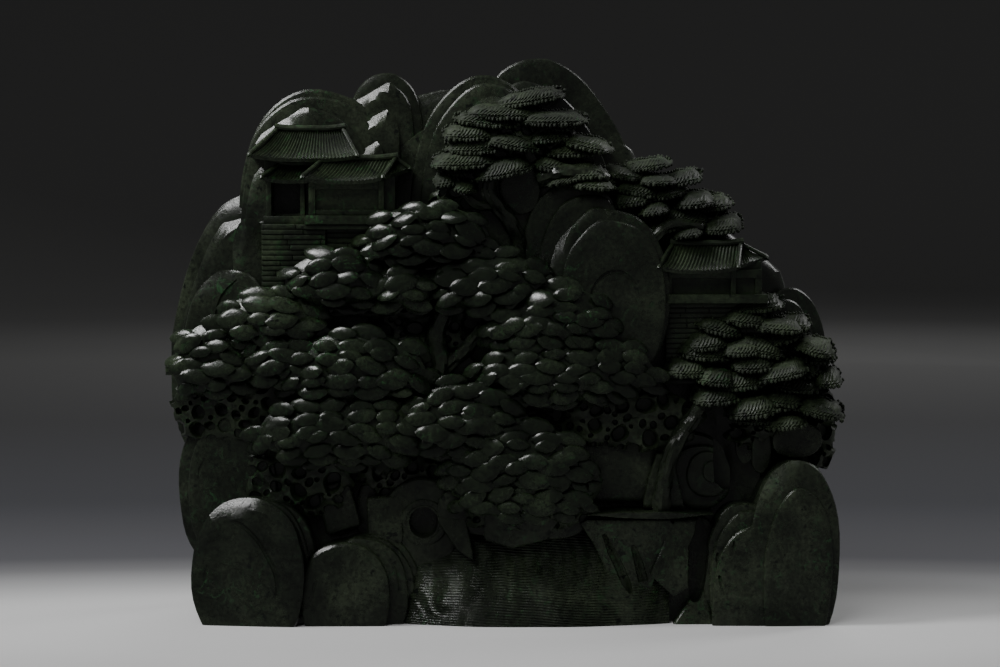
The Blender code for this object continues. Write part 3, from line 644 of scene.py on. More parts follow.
def mountain_mass(name, columns=72, rows=46):
    """The stone behind the carving, its levels joined by smooth curves and its skin ground uneven."""
    mass = column(name, columns, rows)
    low, high = MASS_LEVELS[0][0], MASS_LEVELS[-1][0]
    for vertex in mass.data.vertices:
        x, y, z = vertex.co
        up = low + (high - low) * z / rows
        for start, end in zip(MASS_LEVELS, MASS_LEVELS[1:]):
            if up <= end[0] + 1e-6:
                break
        share = (up - start[0]) / (end[0] - start[0])
        share = share * share * (3 - 2 * share)
        _, left, right, front, back = (a + (b - a) * share for a, b in zip(start, end))
        angle = math.atan2(y, x)
        across = (left + right) / 2 + (right - left) / 2 * power(math.cos(angle), 0.72)
        out = power(math.sin(angle), 0.72)
        point = place(across, up, -out * (back if out > 0 else front))
        rough = noise.noise(point * 38) + 0.5 * noise.noise(point * 90)
        away = Vector((math.cos(angle), math.sin(angle), 0))
        vertex.co = point + away * (0.0013 * rough - 0.0008)
    return mass


def cut_with(base, label, operation, collection):
    """Unites a piece with a collection of forms, or cuts them away from it, and clears them away."""
    cut = base.modifiers.new(label, "BOOLEAN")
    cut.operation = operation
    cut.operand_type = "COLLECTION"
    cut.collection = collection
    cut.solver = "MANIFOLD"
    pick(base)
    bpy.ops.object.modifier_apply(modifier=cut.name)
    clear_away(collection)


def cut_stone(name, forms, base=None, cutters=None, crease=FINE_CREASE):
    """Unites a collection of forms, cuts its hollows, and returns the finished piece."""
    if base is None:
        base = forms.objects[0]
        move_to(base, bpy.context.scene.collection)
    cut_with(base, "forms", "UNION", forms)
    if cutters is not None:
        cut_with(base, "hollows", "DIFFERENCE", cutters)
    base.name = name
    base.data.name = name
    finish_surface(base, crease)
    return base


def finish_surface(piece, crease):
    """Keeps a piece inside the solid's box, with clean faces that are creased past an angle."""
    low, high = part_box(NODE)
    for vertex in piece.data.vertices:
        vertex.co = Vector(min(max(vertex.co[i], low[i]), high[i]) for i in range(3))
    pick(piece)
    edit_all()
    bpy.ops.mesh.remove_doubles(threshold=WELD)
    bpy.ops.object.mode_set(mode="OBJECT")
    bpy.ops.object.shade_smooth_by_angle(angle=math.radians(crease))


def flat_cutter(collection):
    """A block below the base, which cuts the underside flat."""
    deselect()
    bpy.ops.mesh.primitive_cube_add(size=1, location=(0, 0, -0.5), scale=(2, 2, 1))
    block = bpy.context.object
    settle(block)
    move_to(block, collection)


def tube(name, stops, collection, sides=12, steps=8, bark=0.12):
    """A trunk or bough through its stops, swept as a circle and roughened like bark."""
    s = sizes()
    points = [place(*stop[:3]) for stop in stops]
    radii = [stop[3] * s.width for stop in stops]
    centres = []
    for i in range(len(points) - 1):
        a, b = points[max(i - 1, 0)], points[i]
        c, d = points[i + 1], points[min(i + 2, len(points) - 1)]
        for k in range(steps):
            t = k / steps
            spot = 0.5 * (
                2 * b + (c - a) * t + (2 * a - 5 * b + 4 * c - d) * t * t + (3 * b - a - 3 * c + d) * t ** 3
            )
            centres.append((spot, radii[i] + (radii[i + 1] - radii[i]) * t))
    centres.append((points[-1], radii[-1]))
    limb = column(name, sides, len(centres) - 1)
    for vertex in limb.data.vertices:
        index = round(vertex.co.z)
        centre, radius = centres[index]
        before = centres[max(index - 1, 0)][0]
        after = centres[min(index + 1, len(centres) - 1)][0]
        along = (after - before).normalized()
        side = along.cross(Vector((0, 1, 0))).normalized()
        outward = along.cross(side)
        angle = math.atan2(vertex.co.y, vertex.co.x)
        grain = Vector((2.2 * math.cos(angle), 2.2 * math.sin(angle), 0)) + centre * 170
        ridge = 1 + bark * noise.noise(grain)
        vertex.co = centre + radius * ridge * (math.cos(angle) * side + math.sin(angle) * outward)
    move_to(limb, collection)


def move_to(thing, collection):
    for owner in list(thing.users_collection):
        owner.objects.unlink(thing)
    collection.objects.link(thing)


def grid_sheet(name, columns, rows, spot, rear_y, collection, middle=None):
    """A sheet of points placed by spot(s, t), with walls back to a flat rear.

    The rear is drawn in towards a middle if one is given.
    """
    deselect()
    bpy.ops.mesh.primitive_grid_add(
        x_subdivisions=columns, y_subdivisions=rows, size=2, rotation=(math.pi / 2, 0, 0)
    )
    sheet = bpy.context.object
    sheet.name = name
    settle(sheet)
    edit_all()
    bpy.ops.mesh.extrude_region_move(TRANSFORM_OT_translate={"value": (0, -1, 0)})
    face_outward()
    for vertex in sheet.data.vertices:
        x, y, z = vertex.co
        point = spot(x, z)
        if y > -0.5:
            if middle is not None:
                point = point.lerp(middle, 0.45)
            point.y = rear_y
        vertex.co = point
    move_to(sheet, collection)


def crowd(form, rng):
    """Places and radii for holes crowded over a web, the largest placed first."""
    s = sizes()
    wide, high = form.wide * s.width, form.high * s.height
    wall = 0.0005
    found = []
    for size, tries in ((0.0042, 22), (0.0031, 40), (0.0023, 60), (0.0017, 90), (0.0013, 120)):
        for _ in range(tries):
            x, z = rng.uniform(-1, 1), rng.uniform(-1, 1)
            if abs(x) ** form.square + abs(z) ** form.square > 1.05:
                continue
            x, z = x * wide, z * high
            radius = size * rng.uniform(0.8, 1.15)
            if all(math.hypot(x - a, z - b) > radius + r + wall for a, b, r in found):
                found.append((x, z, radius))
    return found


def drilled_web(name, form, blank, drill, forms, cutters, seed):
    """A ragged piece of rock, drilled until only thin walls are left between its holes."""
    s = sizes()
    rng = random.Random(seed)
    pose = turn_and_lean(form)
    middle = place(form.across, form.up, form.front)
    wide, high = form.wide * s.width, form.high * s.height
    rear = rear_depth(form.across, form.up) - middle.y

    def skin(x, z):
        """The web's uneven front."""
        spot = Vector((x, 0, z)) * 90 + Vector((seed, 0, 0))
        rough = noise.noise(spot) + 0.6 * noise.noise(2.1 * spot)
        return 0.0030 * rough + 0.0040 * (abs(x / wide) ** 3 + abs(z / high) ** 3)

    def shaper(share, angle, behind):
        around = Vector((3.2 * math.cos(angle), 3.2 * math.sin(angle), 5.0 * seed))
        ragged = 1 + 0.20 * noise.noise(around)
        x = wide * share * ragged * power(math.cos(angle), 2 / form.square)
        z = high * share * ragged * power(math.sin(angle), 2 / form.square)
        y = skin(x, z) + 0.0016 * past_edge(share) ** 2
        if behind:
            x, z, y = 0.9 * x, 0.9 * z, rear
        return middle + pose @ Vector((x, y, z))

    shape_copy(name, blank, forms, shaper)
    for k, (x, z, radius) in enumerate(crowd(form, rng)):
        stretch, slant = rng.uniform(0.85, 1.2), rng.uniform(0, math.pi)
        deep = 0.0034 + 1.0 * radius
        mouth = skin(x, z)

        def bore(share, angle, behind):
            around = Vector((1.6 * math.cos(angle), 1.6 * math.sin(angle), 3.3 * k + seed))
            rough = 1 + 0.14 * noise.noise(around)
            if behind:
                y, r = mouth + deep, 0.72 * radius * share
            elif share > 0.95:
                y, r = mouth + 0.0009, radius
            else:
                y, r = mouth - 0.0026, 1.45 * radius * share / 0.9
            a = r * rough * stretch * math.cos(angle)
            b = r * rough / stretch * math.sin(angle)
            across = a * math.cos(slant) - b * math.sin(slant)
            up = a * math.sin(slant) + b * math.cos(slant)
            return middle + pose @ Vector((x + across, y, z + up))

        shape_copy(f"{name}_hole_{k}", drill, cutters, bore)


class JADE_OT_webs(bpy.types.Operator):
    """Models the rock under the foliage, drilled into a web"""
    bl_idname = "jade.webs"
    bl_label = "Drilled rock"

    def execute(self, context):
        forms = work_collection("web_forms")
        cutters = work_collection("web_holes")
        blanks = work_collection("web_blanks")
        body = domed_blank("web_blank", 64, WEB_RINGS, blanks)
        drill = domed_blank("drill_blank", 14, DRILL_RINGS, blanks)
        for i, form in enumerate(WEBS):
            drilled_web(f"web_{i}", form, body, drill, forms, cutters, i + 1)
        piece = cut_stone("drilled_rock", forms, None, cutters)
        clear_away(blanks)
        dress(piece, "web")
        return {"FINISHED"}


class JADE_OT_rocks(bpy.types.Operator):
    """Models the mountain, its boulders, ledge, stream, cave and trunks"""
    bl_idname = "jade.rocks"
    bl_label = "Rocks and stream"

    def execute(self, context):
        forms = work_collection("rock_forms")
        cutters = work_collection("rock_hollows")
        blanks = work_collection("rock_blanks")
        rock = domed_blank("rock_blank", sizes().slab_sides, ROCK_RINGS, blanks)
        drill = domed_blank("drill_blank", 20, DRILL_RINGS, blanks)
        for i, form in enumerate(PEAKS + BOULDERS):
            rock_slab(f"rock_{i}", form, rock, forms)
        for i, form in enumerate(BACK):
            rock_slab(f"back_{i}", form, rock, forms, facing=-1)
        for i, form in enumerate(SHARDS):
            rock_shard(f"shard_{i}", form, rock, forms)
        for i, stops in enumerate(LIMBS):
            tube(f"limb_{i}", stops, forms, sides=16, steps=10, bark=0.34)
        for i, stops in enumerate(GROOVES):
            self.groove(f"groove_{i}", stops, cutters, *GROOVE_CUT)
        for i, stops in enumerate(SLITS):
            self.groove(f"slit_{i}", stops, cutters, *SLIT_CUT)
        for i, form in enumerate(HOLLOWS):
            self.hollow(f"hollow_{i}", form, rock, cutters)
        self.stream(forms)
        self.cave(forms, cutters, drill)
        flat_cutter(cutters)
        mass = mountain_mass("mountain_rock")
        piece = cut_stone("mountain_rock", forms, mass, cutters, ROCK_CREASE)
        clear_away(blanks)
        dress(piece, "polished")
        return {"FINISHED"}

    def foremost(self, across, up):
        """How far forward the foremost rock stands at a place."""
        s = sizes()
        front = 0.0
        for form in PEAKS + BOULDERS:
            gap_x = (across - form.across) / form.wide
            gap_z = (up - form.up) / form.high
            if abs(gap_x) ** form.square + abs(gap_z) ** form.square < 0.8:
                turned = math.tan(math.radians(form.turn)) * (across - form.across) * s.width / s.depth
                front = max(front, form.front - turned)
        for form in SHARDS:
            reach = [[corner[i] for corner in form.corners] for i in (0, 1)]
            if min(reach[0]) < across < max(reach[0]) and min(reach[1]) < up < max(reach[1]):
                front = max(front, sum(form.fronts) / 2)
        return front

    def groove(self, name, stops, cutters, radius, lift):
        """Cuts a line into the rock along its stops, deep by how little it is lifted."""
        s = sizes()
        spots = []
        for stop in stops:
            shallow = stop == stops[0] or (lift > 0 and stop == stops[-1])
            taper = 0.4 if shallow else 1.0
            raised = lift + (1 - taper) * 1.4 * radius * s.width / s.depth
            spots.append((*stop, self.foremost(*stop) + raised, radius * taper))
        tube(name, spots, cutters, sides=8, steps=6, bark=0)

    def hollow(self, name, form, blank, cutters):
        """Cuts a hollow with rough walls from outside the stone in to its floor."""
        s = sizes()
        pose = turn_and_lean(form)

        def shaper(share, angle, rear):
            around = Vector((2 * math.cos(angle), 2 * math.sin(angle), 40 * form.across))
            rough = 1 + 0.12 * noise.noise(around)
            x = form.wide * s.width * share * rough * power(math.cos(angle), 2 / form.square)
            z = form.high * s.height * share * rough * power(math.sin(angle), 2 / form.square)
            y = (0.0 if rear else -0.55 - form.front) * s.depth
            if rear:
                y += 0.0016 * noise.noise(Vector((90 * x, 90 * z, form.across)))
            return place(form.across, form.up, form.front) + pose @ Vector((x, y, z))

        shape_copy(name, blank, cutters, shaper)

    def stream(self, forms):
        """The stream's face, in fine cross ripples."""
        s = sizes()
        left, right, high, high_front, low, low_front = STREAM
        rows = int(0.055 / (s.ripple_pitch / 3.2))

        def spot(across, up):
            down = (1 - up) / 2
            height = high + (low - high) * down
            front = high_front + (low_front - high_front) * math.sin(down * math.pi / 2) ** 0.8
            middle, half = (left + right) / 2, (right - left) / 2
            point = place(middle + half * across, height, front - STREAM_FALL * across ** 2)
            drift = 4 * noise.noise(point * 20) + 1.4 * noise.noise(point * 60)
            drift += 0.6 * noise.noise(point * 150)
            wave = math.sin(2 * math.pi * (point.z + 0.06 * point.x) / s.ripple_pitch + drift)
            strength = 0.7 + 0.5 * noise.noise(point * 60)
            point.y -= s.ripple * wave * strength + 0.0009 * noise.noise(point * 34)
            return point

        grid_sheet("stream", 150, rows, spot, rear_depth(left, low), forms)

    def cave(self, forms, cutters, drill):
        """The round cave, with a raised ring about its mouth."""
        s = sizes()
        centre = place(*CAVE)
        deselect()
        bpy.ops.mesh.primitive_torus_add(
            major_segments=40, minor_segments=12, location=centre, rotation=(math.pi / 2, 0, 0),
            major_radius=s.cave_radius + 0.0016, minor_radius=0.0026,
        )
        ring = bpy.context.object
        settle(ring)
        for vertex in ring.data.vertices:
            vertex.co.y += 0.0016 + 0.0006 * noise.noise(vertex.co * 120)
        move_to(ring, forms)

        def shaper(share, angle, rear):
            y = 0.0085 if rear else -0.012
            across = share * s.cave_radius * (0.74 if rear else 1.0)
            return centre + Vector((across * math.cos(angle), y, across * 1.06 * math.sin(angle)))

        shape_copy("cave_hollow", drill, cutters, shaper)


class JADE_OT_pine(bpy.types.Operator):
    """Models the large pine's pads of overlapping leaves"""
    bl_idname = "jade.pine"
    bl_label = "Pine leaves"

    def execute(self, context):
        forms = work_collection("pine_forms")
        blanks = work_collection("pine_blanks")
        body = domed_blank("pad_blank", 28, PAD_RINGS, blanks)
        leaf = domed_blank("leaf_blank", 12, LEAF_RINGS, blanks)
        rng = random.Random(4)
        for i, pad in enumerate(PINE):
            self.pad_body(f"pad_{i}", pad, body, forms)
            self.leaves(f"leaf_{i}", pad, leaf, forms, rng)
        piece = cut_stone("pine_foliage", forms, crease=LEAF_CREASE)
        clear_away(blanks)
        dress(piece, "leaf")
        return {"FINISHED"}

    def face(self, pad, x, z, sink=0.0):
        """A point on a pad's crowned face, for shares x and z of its half size."""
        rise = math.sqrt(max(0.0, 1 - x * x - z * z))
        reach = pad.high if z > 0 else pad.high * 0.62
        front = pad.edge + (pad.crown - pad.edge) * rise
        return place(pad.across + pad.wide * x, pad.up + reach * z, front) + Vector((0, sink, 0))

    def pad_body(self, name, pad, blank, forms):
        rear = rear_depth(pad.across, pad.up)

        def shaper(share, angle, behind):
            point = self.face(pad, 0.93 * share * math.cos(angle), 0.93 * share * math.sin(angle), 0.0032)
            if behind:
                point.y = rear
            return point

        shape_copy(name, blank, forms, shaper)

    def leaves(self, name, pad, blank, forms, rng):
        """Rows of pointed leaves, laid like shingles with their lower edges standing well out."""
        s = sizes()
        tall = pad.high * s.height
        count = max(3, round(tall * 1.62 / s.leaf_row))
        for row in range(count + 1):
            z = max(-0.62, 1 - 1.62 * (row + 0.30) / count)
            zz = z if z > 0 else z / 0.62
            half = math.sqrt(max(0.10, 1 - zz * zz))
            spaces = max(1, round(2 * half * pad.wide * s.width / (s.leaf_length * 0.93)))
            for k in range(spaces + row % 2):
                x = ((k + (0.0 if row % 2 else 0.5)) / spaces * 2 - 1) * half
                x = max(-0.98, min(0.98, x)) + rng.uniform(-0.05, 0.05)
                height = zz - 0.20 * x * x + rng.uniform(-0.08, 0.08)
                limit = math.sqrt(max(0.0, 1 - min(1, x * x)))
                height = max(-limit, min(limit, height))
                centre = self.face(pad, x, height, 0.0012)
                length = s.leaf_length * rng.uniform(0.80, 1.20) * (1.10 if row == 0 else 1)
                depth = length * rng.uniform(0.48, 0.60)
                turn = 0.45 * x + rng.uniform(-0.32, 0.32)
                roll = 0.34 * x + rng.uniform(-0.24, 0.24)
                tilt = 0.08 + 0.36 * pad.up + rng.uniform(-0.20, 0.20)
                if rng.random() < 0.26 * (pad.up - 0.20):
                    turn, tilt = turn - 0.22, tilt + 0.30
                spin = Matrix.Rotation(turn, 3, "Z") @ Matrix.Rotation(roll, 3, "Y")
                spin = spin @ Matrix.Rotation(-tilt, 3, "X")

                def shaper(share, angle, behind):
                    long = length / 2 * share * power(math.cos(angle), 0.9)
                    high = depth / 2 * share * power(math.sin(angle), 1.45)
                    if behind:
                        y, long, high = 0.0040, 0.55 * long, 0.40 * high + 0.12 * depth
                    else:
                        y = -0.0015 * (1 - share ** 4.5)
                    return centre + spin @ Vector((long, y, high))

                shape_copy(f"{name}_{row}_{k}", blank, forms, shaper)


class JADE_OT_needles(bpy.types.Operator):
    """Models the smaller trees' pads of cross-cut needles with beaded edges"""
    bl_idname = "jade.needles"
    bl_label = "Needle pads"

    def execute(self, context):
        forms = work_collection("needle_forms")
        blanks = work_collection("needle_blanks")
        deselect()
        bpy.ops.mesh.primitive_ico_sphere_add(subdivisions=1, radius=1)
        bead = bpy.context.object
        move_to(bead, blanks)
        rng = random.Random(9)
        for i, whole in enumerate(NEEDLES):
            for k, pad in enumerate(self.tiers(whole, rng)):
                self.pad(f"needle_pad_{i}_{k}", pad, forms)
                self.beads(f"bead_{i}_{k}", pad, bead, forms, rng)
        piece = cut_stone("needle_foliage", forms)
        clear_away(blanks)
        dress(piece, "needle")
        return {"FINISHED"}

    def tiers(self, whole, rng):
        """The small flat-bottomed tufts that a spray is cut into, the lowest standing furthest out."""
        rise = whole.crown - whole.edge
        plan = (
            (rng.uniform(-0.25, 0.25), 0.52, 0.66, 0.36, 0.55),
            (-0.42 + rng.uniform(-0.10, 0.10), 0.06, 0.60, 0.38, 0.80),
            (0.40 + rng.uniform(-0.10, 0.10), -0.22, 0.60, 0.38, 1.0),
        )
        for across, up, wide, high, out in plan:
            yield Pad(
                whole.across + across * whole.wide, whole.up + up * whole.high + rng.uniform(-0.003, 0.003),
                wide * whole.wide * rng.uniform(0.88, 1.1), high * whole.high * rng.uniform(0.88, 1.1),
                whole.edge - 0.25 * rise, whole.edge + out * rise, rng.uniform(-0.22, 0.22),
            )

    def face(self, pad, x, z):
        """A tuft's face: a low dome above, and full to its lower edge."""
        down = (z + 0.6) / 1.6
        rise = math.sqrt(max(0.0, 1 - abs(x) ** 3 - down * down))
        s = sizes()
        spread = Vector((3 * x + 31 * pad.across, 3 * z, 40 * pad.up))
        ragged = 1 + 0.16 * noise.noise(spread) * (x * x + z * z)
        out = pad.wide * s.width * x * ragged
        rise_up = (pad.high if z > 0 else pad.high * 0.55) * s.height * z * ragged
        middle = place(pad.across, pad.up, pad.edge + (pad.crown - pad.edge) * rise)
        turn_x, turn_z = math.cos(pad.slant), math.sin(pad.slant)
        return middle + Vector((out * turn_x - rise_up * turn_z, 0, out * turn_z + rise_up * turn_x))

    def pad(self, name, pad, forms):
        s = sizes()
        columns = 2 * max(4, round(2 * pad.wide * s.width / s.needle_pitch))
        rows = 2 * max(3, round(1.55 * pad.high * s.height / s.needle_pitch))

        def spot(a, b):
            slanted = a + 0.30 * b * (1 - a * a)
            rounder = max(abs(slanted), abs(b)) / max(1e-9, (abs(slanted) ** 3 + abs(b) ** 3) ** (1 / 3))
            point = self.face(pad, slanted * rounder, b * rounder)
            column = round((a + 1) / 2 * columns)
            row = round((b + 1) / 2 * rows)
            if column % 2:
                point.y -= s.needle_relief * (1.1 if row % 2 else -0.5)
            elif abs(a) < 0.999 and abs(b) < 0.999:
                point.y += s.needle_relief * 0.7
            return point

        middle = place(pad.across, pad.up, 0)
        grid_sheet(name, columns, rows, spot, rear_depth(pad.across, pad.up), forms, middle)

    def beads(self, name, pad, bead, forms, rng):
        """Beads along the tuft's edge, biggest below."""
        s = sizes()
        angle = 0.0
        k = 0
        while angle < 2 * math.pi:
            low = max(0.0, -math.sin(angle))
            size = s.bead * (0.50 + 0.20 * low) * rng.uniform(0.75, 1.2)
            ray_x, ray_z = math.cos(angle), math.sin(angle)
            out = rng.uniform(0.93, 1.0) / (abs(ray_x) ** 3 + abs(ray_z) ** 3) ** (1 / 3)
            point = self.face(pad, out * ray_x, out * ray_z)
            mesh = bead.data.copy()
            across, up = size * rng.uniform(0.85, 1.1), size * rng.uniform(0.95, 1.35)
            point.y += rng.uniform(-0.0002, 0.0008)
            mesh.transform(Matrix.Translation(point) @ Matrix.Diagonal((across, size * 1.4, up, 1)))
            forms.objects.link(bpy.data.objects.new(f"{name}_{k}", mesh))
            k += 1
            wide, high = pad.wide * s.width, 0.75 * pad.high * s.height
            angle += 1.65 * size / max(math.hypot(wide * math.sin(angle), high * math.cos(angle)), 0.002)


class JADE_OT_pavilions(bpy.types.Operator):
    """Models the tiled roofs, halls and built terraces"""
    bl_idname = "jade.pavilions"
    bl_label = "Pavilions and terraces"

    def execute(self, context):
        forms = work_collection("pavilion_forms")
        blanks = work_collection("pavilion_blanks")
        deselect()
        bpy.ops.mesh.primitive_cube_add(size=2)
        block = bpy.context.object
        edit_all()
        bpy.ops.mesh.bevel(offset=BLOCK_BEVEL, segments=2, affect="EDGES")
        bpy.ops.object.mode_set(mode="OBJECT")
        move_to(block, blanks)
        for i, form in enumerate(HALLS):
            self.block(f"hall_{i}", form, block, forms, 0.0004, rear_depth(form.left, form.low))
        for i, form in enumerate(BEAMS):
            self.block(f"beam_{i}", form, block, forms, 0.0003, 0.0)
        for i, form in enumerate(TERRACES):
            self.terrace(f"terrace_{i}", form, block, forms)
        for i, form in enumerate(ROOFS):
            self.roof(f"roof_{i}", form, forms)
        piece = cut_stone("pavilions", forms)
        clear_away(blanks)
        dress(piece, "satin")
        return {"FINISHED"}

    def block(self, name, form, blank, forms, bevel, rear_y):
        """A block from its face back to rear_y, its bevels kept narrow whatever its size."""
        low = place(form.left, form.low, form.front)
        high = place(form.right, form.high, form.front)
        high.y = rear_y
        middle, half = (low + high) / 2, (high - low) / 2
        mesh = blank.data.copy()
        for vertex in mesh.vertices:
            inset = [bevel * (1 - abs(share)) / BLOCK_BEVEL for share in vertex.co]
            vertex.co = Vector(
                middle[i] + math.copysign(abs(half[i]) - inset[i], vertex.co[i]) for i in range(3)
            )
        forms.objects.link(bpy.data.objects.new(name, mesh))

    def terrace(self, name, form, blank, forms):
        """A wall of stones in bonded courses, each a little in or out of the wall's face."""
        s = sizes()
        rng = random.Random(len(name) + round(1000 * form.high))
        core = form._replace(front=form.front - 0.012)
        self.block(f"{name}_core", core, blank, forms, 0.0004, rear_depth(form.left, form.low))
        courses = round((form.high - form.low) * s.height / s.course)
        for course in range(courses):
            low = form.low + (form.high - form.low) * course / courses
            high = form.low + (form.high - form.low) * (course + 1) / courses
            x = form.left - rng.uniform(0, 0.02)
            while x < form.right:
                length = rng.uniform(0.030, 0.070)
                start, end = max(x, form.left), min(x + length, form.right)
                x += length
                if end - start < 0.005:
                    continue
                front = form.front + rng.uniform(-0.004, 0.003)
                stone = Block(start + 0.0003, end - 0.0003, low + 0.0007, high - 0.0007, front)
                self.block(f"{name}_{course}_{round(x * 1000)}", stone, blank, forms, 0.0003, 0.0)

    def roof(self, name, form, forms):
        """A tiled roof: ribs down its slope, a fascia under the eaves, a ridge and two hips."""
        s = sizes()
        length = (form.eaves_ends[1] - form.eaves_ends[0]) * s.width
        ribs = max(6, round(length / s.tile_pitch))

        def edge(share, kind):
            """A place along the ridge or the eaves, which turn back past the roof's corner."""
            before = min(1.0, share / form.corner)
            past = max(0.0, (share - form.corner) / max(1 - form.corner, 0.001))
            if kind == "ridge":
                x = form.ridge_ends[0] + (form.ridge_ends[1] - form.ridge_ends[0]) * before
                return place(x, form.heights[0], form.fronts[0] - 0.02 * past)
            x = form.eaves_ends[0] + (form.eaves_ends[1] - form.eaves_ends[0]) * share
            curl = 0.010 * (1 - before) ** 5 + 0.006 * before ** 8
            level = form.heights[1] + (form.heights[2] - form.heights[1]) * share
            return place(x, level + curl + 0.012 * past, form.fronts[1] - 0.12 * past)

        rows = 9

        def spot(a, b):
            share = (a + 1) / 2
            down = min(1.0, (1 - b) / 2 * rows / (rows - 1))
            ridge, eaves = edge(share, "ridge"), edge(share, "eaves")
            point = ridge.lerp(eaves, down)
            point.z -= 0.006 * s.height * math.sin(math.pi * down)
            if b < -1 + 1 / rows:
                return eaves + Vector((0, 0.0006, -0.0016))
            rib = s.tile_relief * (0.5 + 0.5 * math.cos(2 * math.pi * share * ribs))
            return point + Vector((0, -rib, rib))

        grid_sheet(name, ribs * 4, rows, spot, rear_depth(*form.eaves_ends), forms)
        left, right = form.ridge_ends[0] - 0.004, form.ridge_ends[1] + 0.004
        ridge = [
            (left + (right - left) * k / 4, form.heights[0] + lift, form.fronts[0] + 0.004, 0.0048)
            for k, lift in enumerate((0.005, 0.002, 0.002, 0.002, 0.006))
        ]
        tube(f"{name}_ridge", ridge, forms, sides=10, steps=5, bark=0)
        for share in (0.0, form.corner, 1.0):
            start, end = edge(share, "ridge"), edge(share, "eaves")
            line = [start.lerp(end, k / 4) + Vector((0, -0.0006, 0.0004)) for k in range(5)]
            stops = [(p.x / s.width, p.z / s.height, -p.y / s.depth, 0.0032) for p in line]
            x, z, front = stops[-1][:3]
            stops.append((x + 0.0001, z - 0.004, front + 0.006, 0.00364))
            tube(f"{name}_hip_{round(share * 100)}", stops, forms, sides=10, steps=4, bark=0)


def dress(piece, finish):
    """Gives a finished piece its material and its place on the stone."""
    piece.data.materials.clear()
    piece.data.materials.append(jade_material(f"jade_{finish}", *FINISHES[finish]))
    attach(piece, "root")
    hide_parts(NODE)


def jade_material(name, lift, roughness, bump, fleck_amount):
    """Nephrite: clouds of green, dark and bright flecks, and a polish that varies with the cut."""
    c = colours()
    material = bpy.data.materials.new(name)
    material.use_nodes = True
    nodes, links = material.node_tree.nodes, material.node_tree.links
    shader = nodes["Principled BSDF"]
    place_node = nodes.new("ShaderNodeTexCoord")

    def cloud(scale, detail, rough=0.6, distortion=0.0):
        node = nodes.new("ShaderNodeTexNoise")
        node.inputs["Scale"].default_value = scale
        node.inputs["Detail"].default_value = detail
        node.inputs["Roughness"].default_value = rough
        node.inputs["Distortion"].default_value = distortion
        links.new(place_node.outputs["Object"], node.inputs["Vector"])
        return node.outputs["Fac"]

    def ramp(source, stops):
        node = nodes.new("ShaderNodeValToRGB")
        band = node.color_ramp
        while len(band.elements) < len(stops):
            band.elements.new(0.5)
        for element, (position, colour) in zip(band.elements, stops):
            element.position = position
            element.color = (*colour, 1)
        links.new(source, node.inputs["Fac"])
        return node.outputs["Color"]

    def mix(kind, factor, a, b):
        node = nodes.new("ShaderNodeMix")
        node.data_type = "RGBA"
        node.blend_type = kind
        if isinstance(factor, float):
            node.inputs["Factor"].default_value = factor
        else:
            links.new(factor, node.inputs["Factor"])
        links.new(a, node.inputs["A"])
        links.new(b, node.inputs["B"])
        return node.outputs["Result"]

    # Scales a colour by the finish's gains. For polished rock this is the stone's own tone. For the web it
    # is also painted light lifting its shade under the pads. For leaves, needles and pavilions it is also a
    # painted glow of light through thin parts.
    def tone_and_painted_light(colour):
        return tuple(channel * gain for channel, gain in zip(colour, lift))

    body = ramp(cloud(24, 7, 0.66, 0.9), (
        (0.34, tone_and_painted_light(c.deep)), (0.50, tone_and_painted_light(c.body)), (0.64, tone_and_painted_light(c.pale)),
    ))
    patches = ramp(cloud(7, 3, 0.6, 0.5), ((0.35, (0.62, 0.66, 0.60)), (0.65, (1.30, 1.26, 1.22))))
    body = mix("MULTIPLY", 1.0, body, patches)
    grain = ramp(cloud(520, 3, 0.7), ((0.34, (0.55, 0.55, 0.55)), (0.66, (1.45, 1.45, 1.45))))
    body = mix("MULTIPLY", 1.0, body, grain)
    flecks = ramp(cloud(170, 5, 0.7, 1.4), ((0.55, (0, 0, 0)), (0.66, (1, 1, 1))))
    area = ramp(cloud(15, 3), ((0.52 - 0.1 * fleck_amount, (0, 0, 0)), (0.66, (fleck_amount,) * 3)))
    amount = mix("MULTIPLY", 1.0, flecks, area)
    bright = ramp(cloud(60, 2), ((0.3, tone_and_painted_light(c.pale)), (0.7, tone_and_painted_light(c.fleck))))
    body = mix("MIX", amount, body, bright)
    specks = ramp(cloud(260, 2, 0.5), ((0.28, (1, 1, 1)), (0.36, (0, 0, 0))))
    dark = ramp(cloud(60, 2), ((0.3, (0.003, 0.005, 0.003)), (0.7, (0.006, 0.009, 0.006))))
    body = mix("MIX", specks, body, dark)
    links.new(body, shader.inputs["Base Color"])
    polish = ramp(cloud(44, 6, 0.7), ((0.34, (roughness * 0.7,) * 3), (0.66, (roughness * 1.5,) * 3)))
    links.new(polish, shader.inputs["Roughness"])
    uneven = nodes.new("ShaderNodeBump")
    uneven.inputs["Strength"].default_value = bump
    uneven.inputs["Distance"].default_value = 0.0007
    links.new(cloud(240, 7, 0.72), uneven.inputs["Height"])
    links.new(uneven.outputs["Normal"], shader.inputs["Normal"])
    shader.inputs["IOR"].default_value = 1.61
    shader.inputs["Specular IOR Level"].default_value = 0.5
    return material


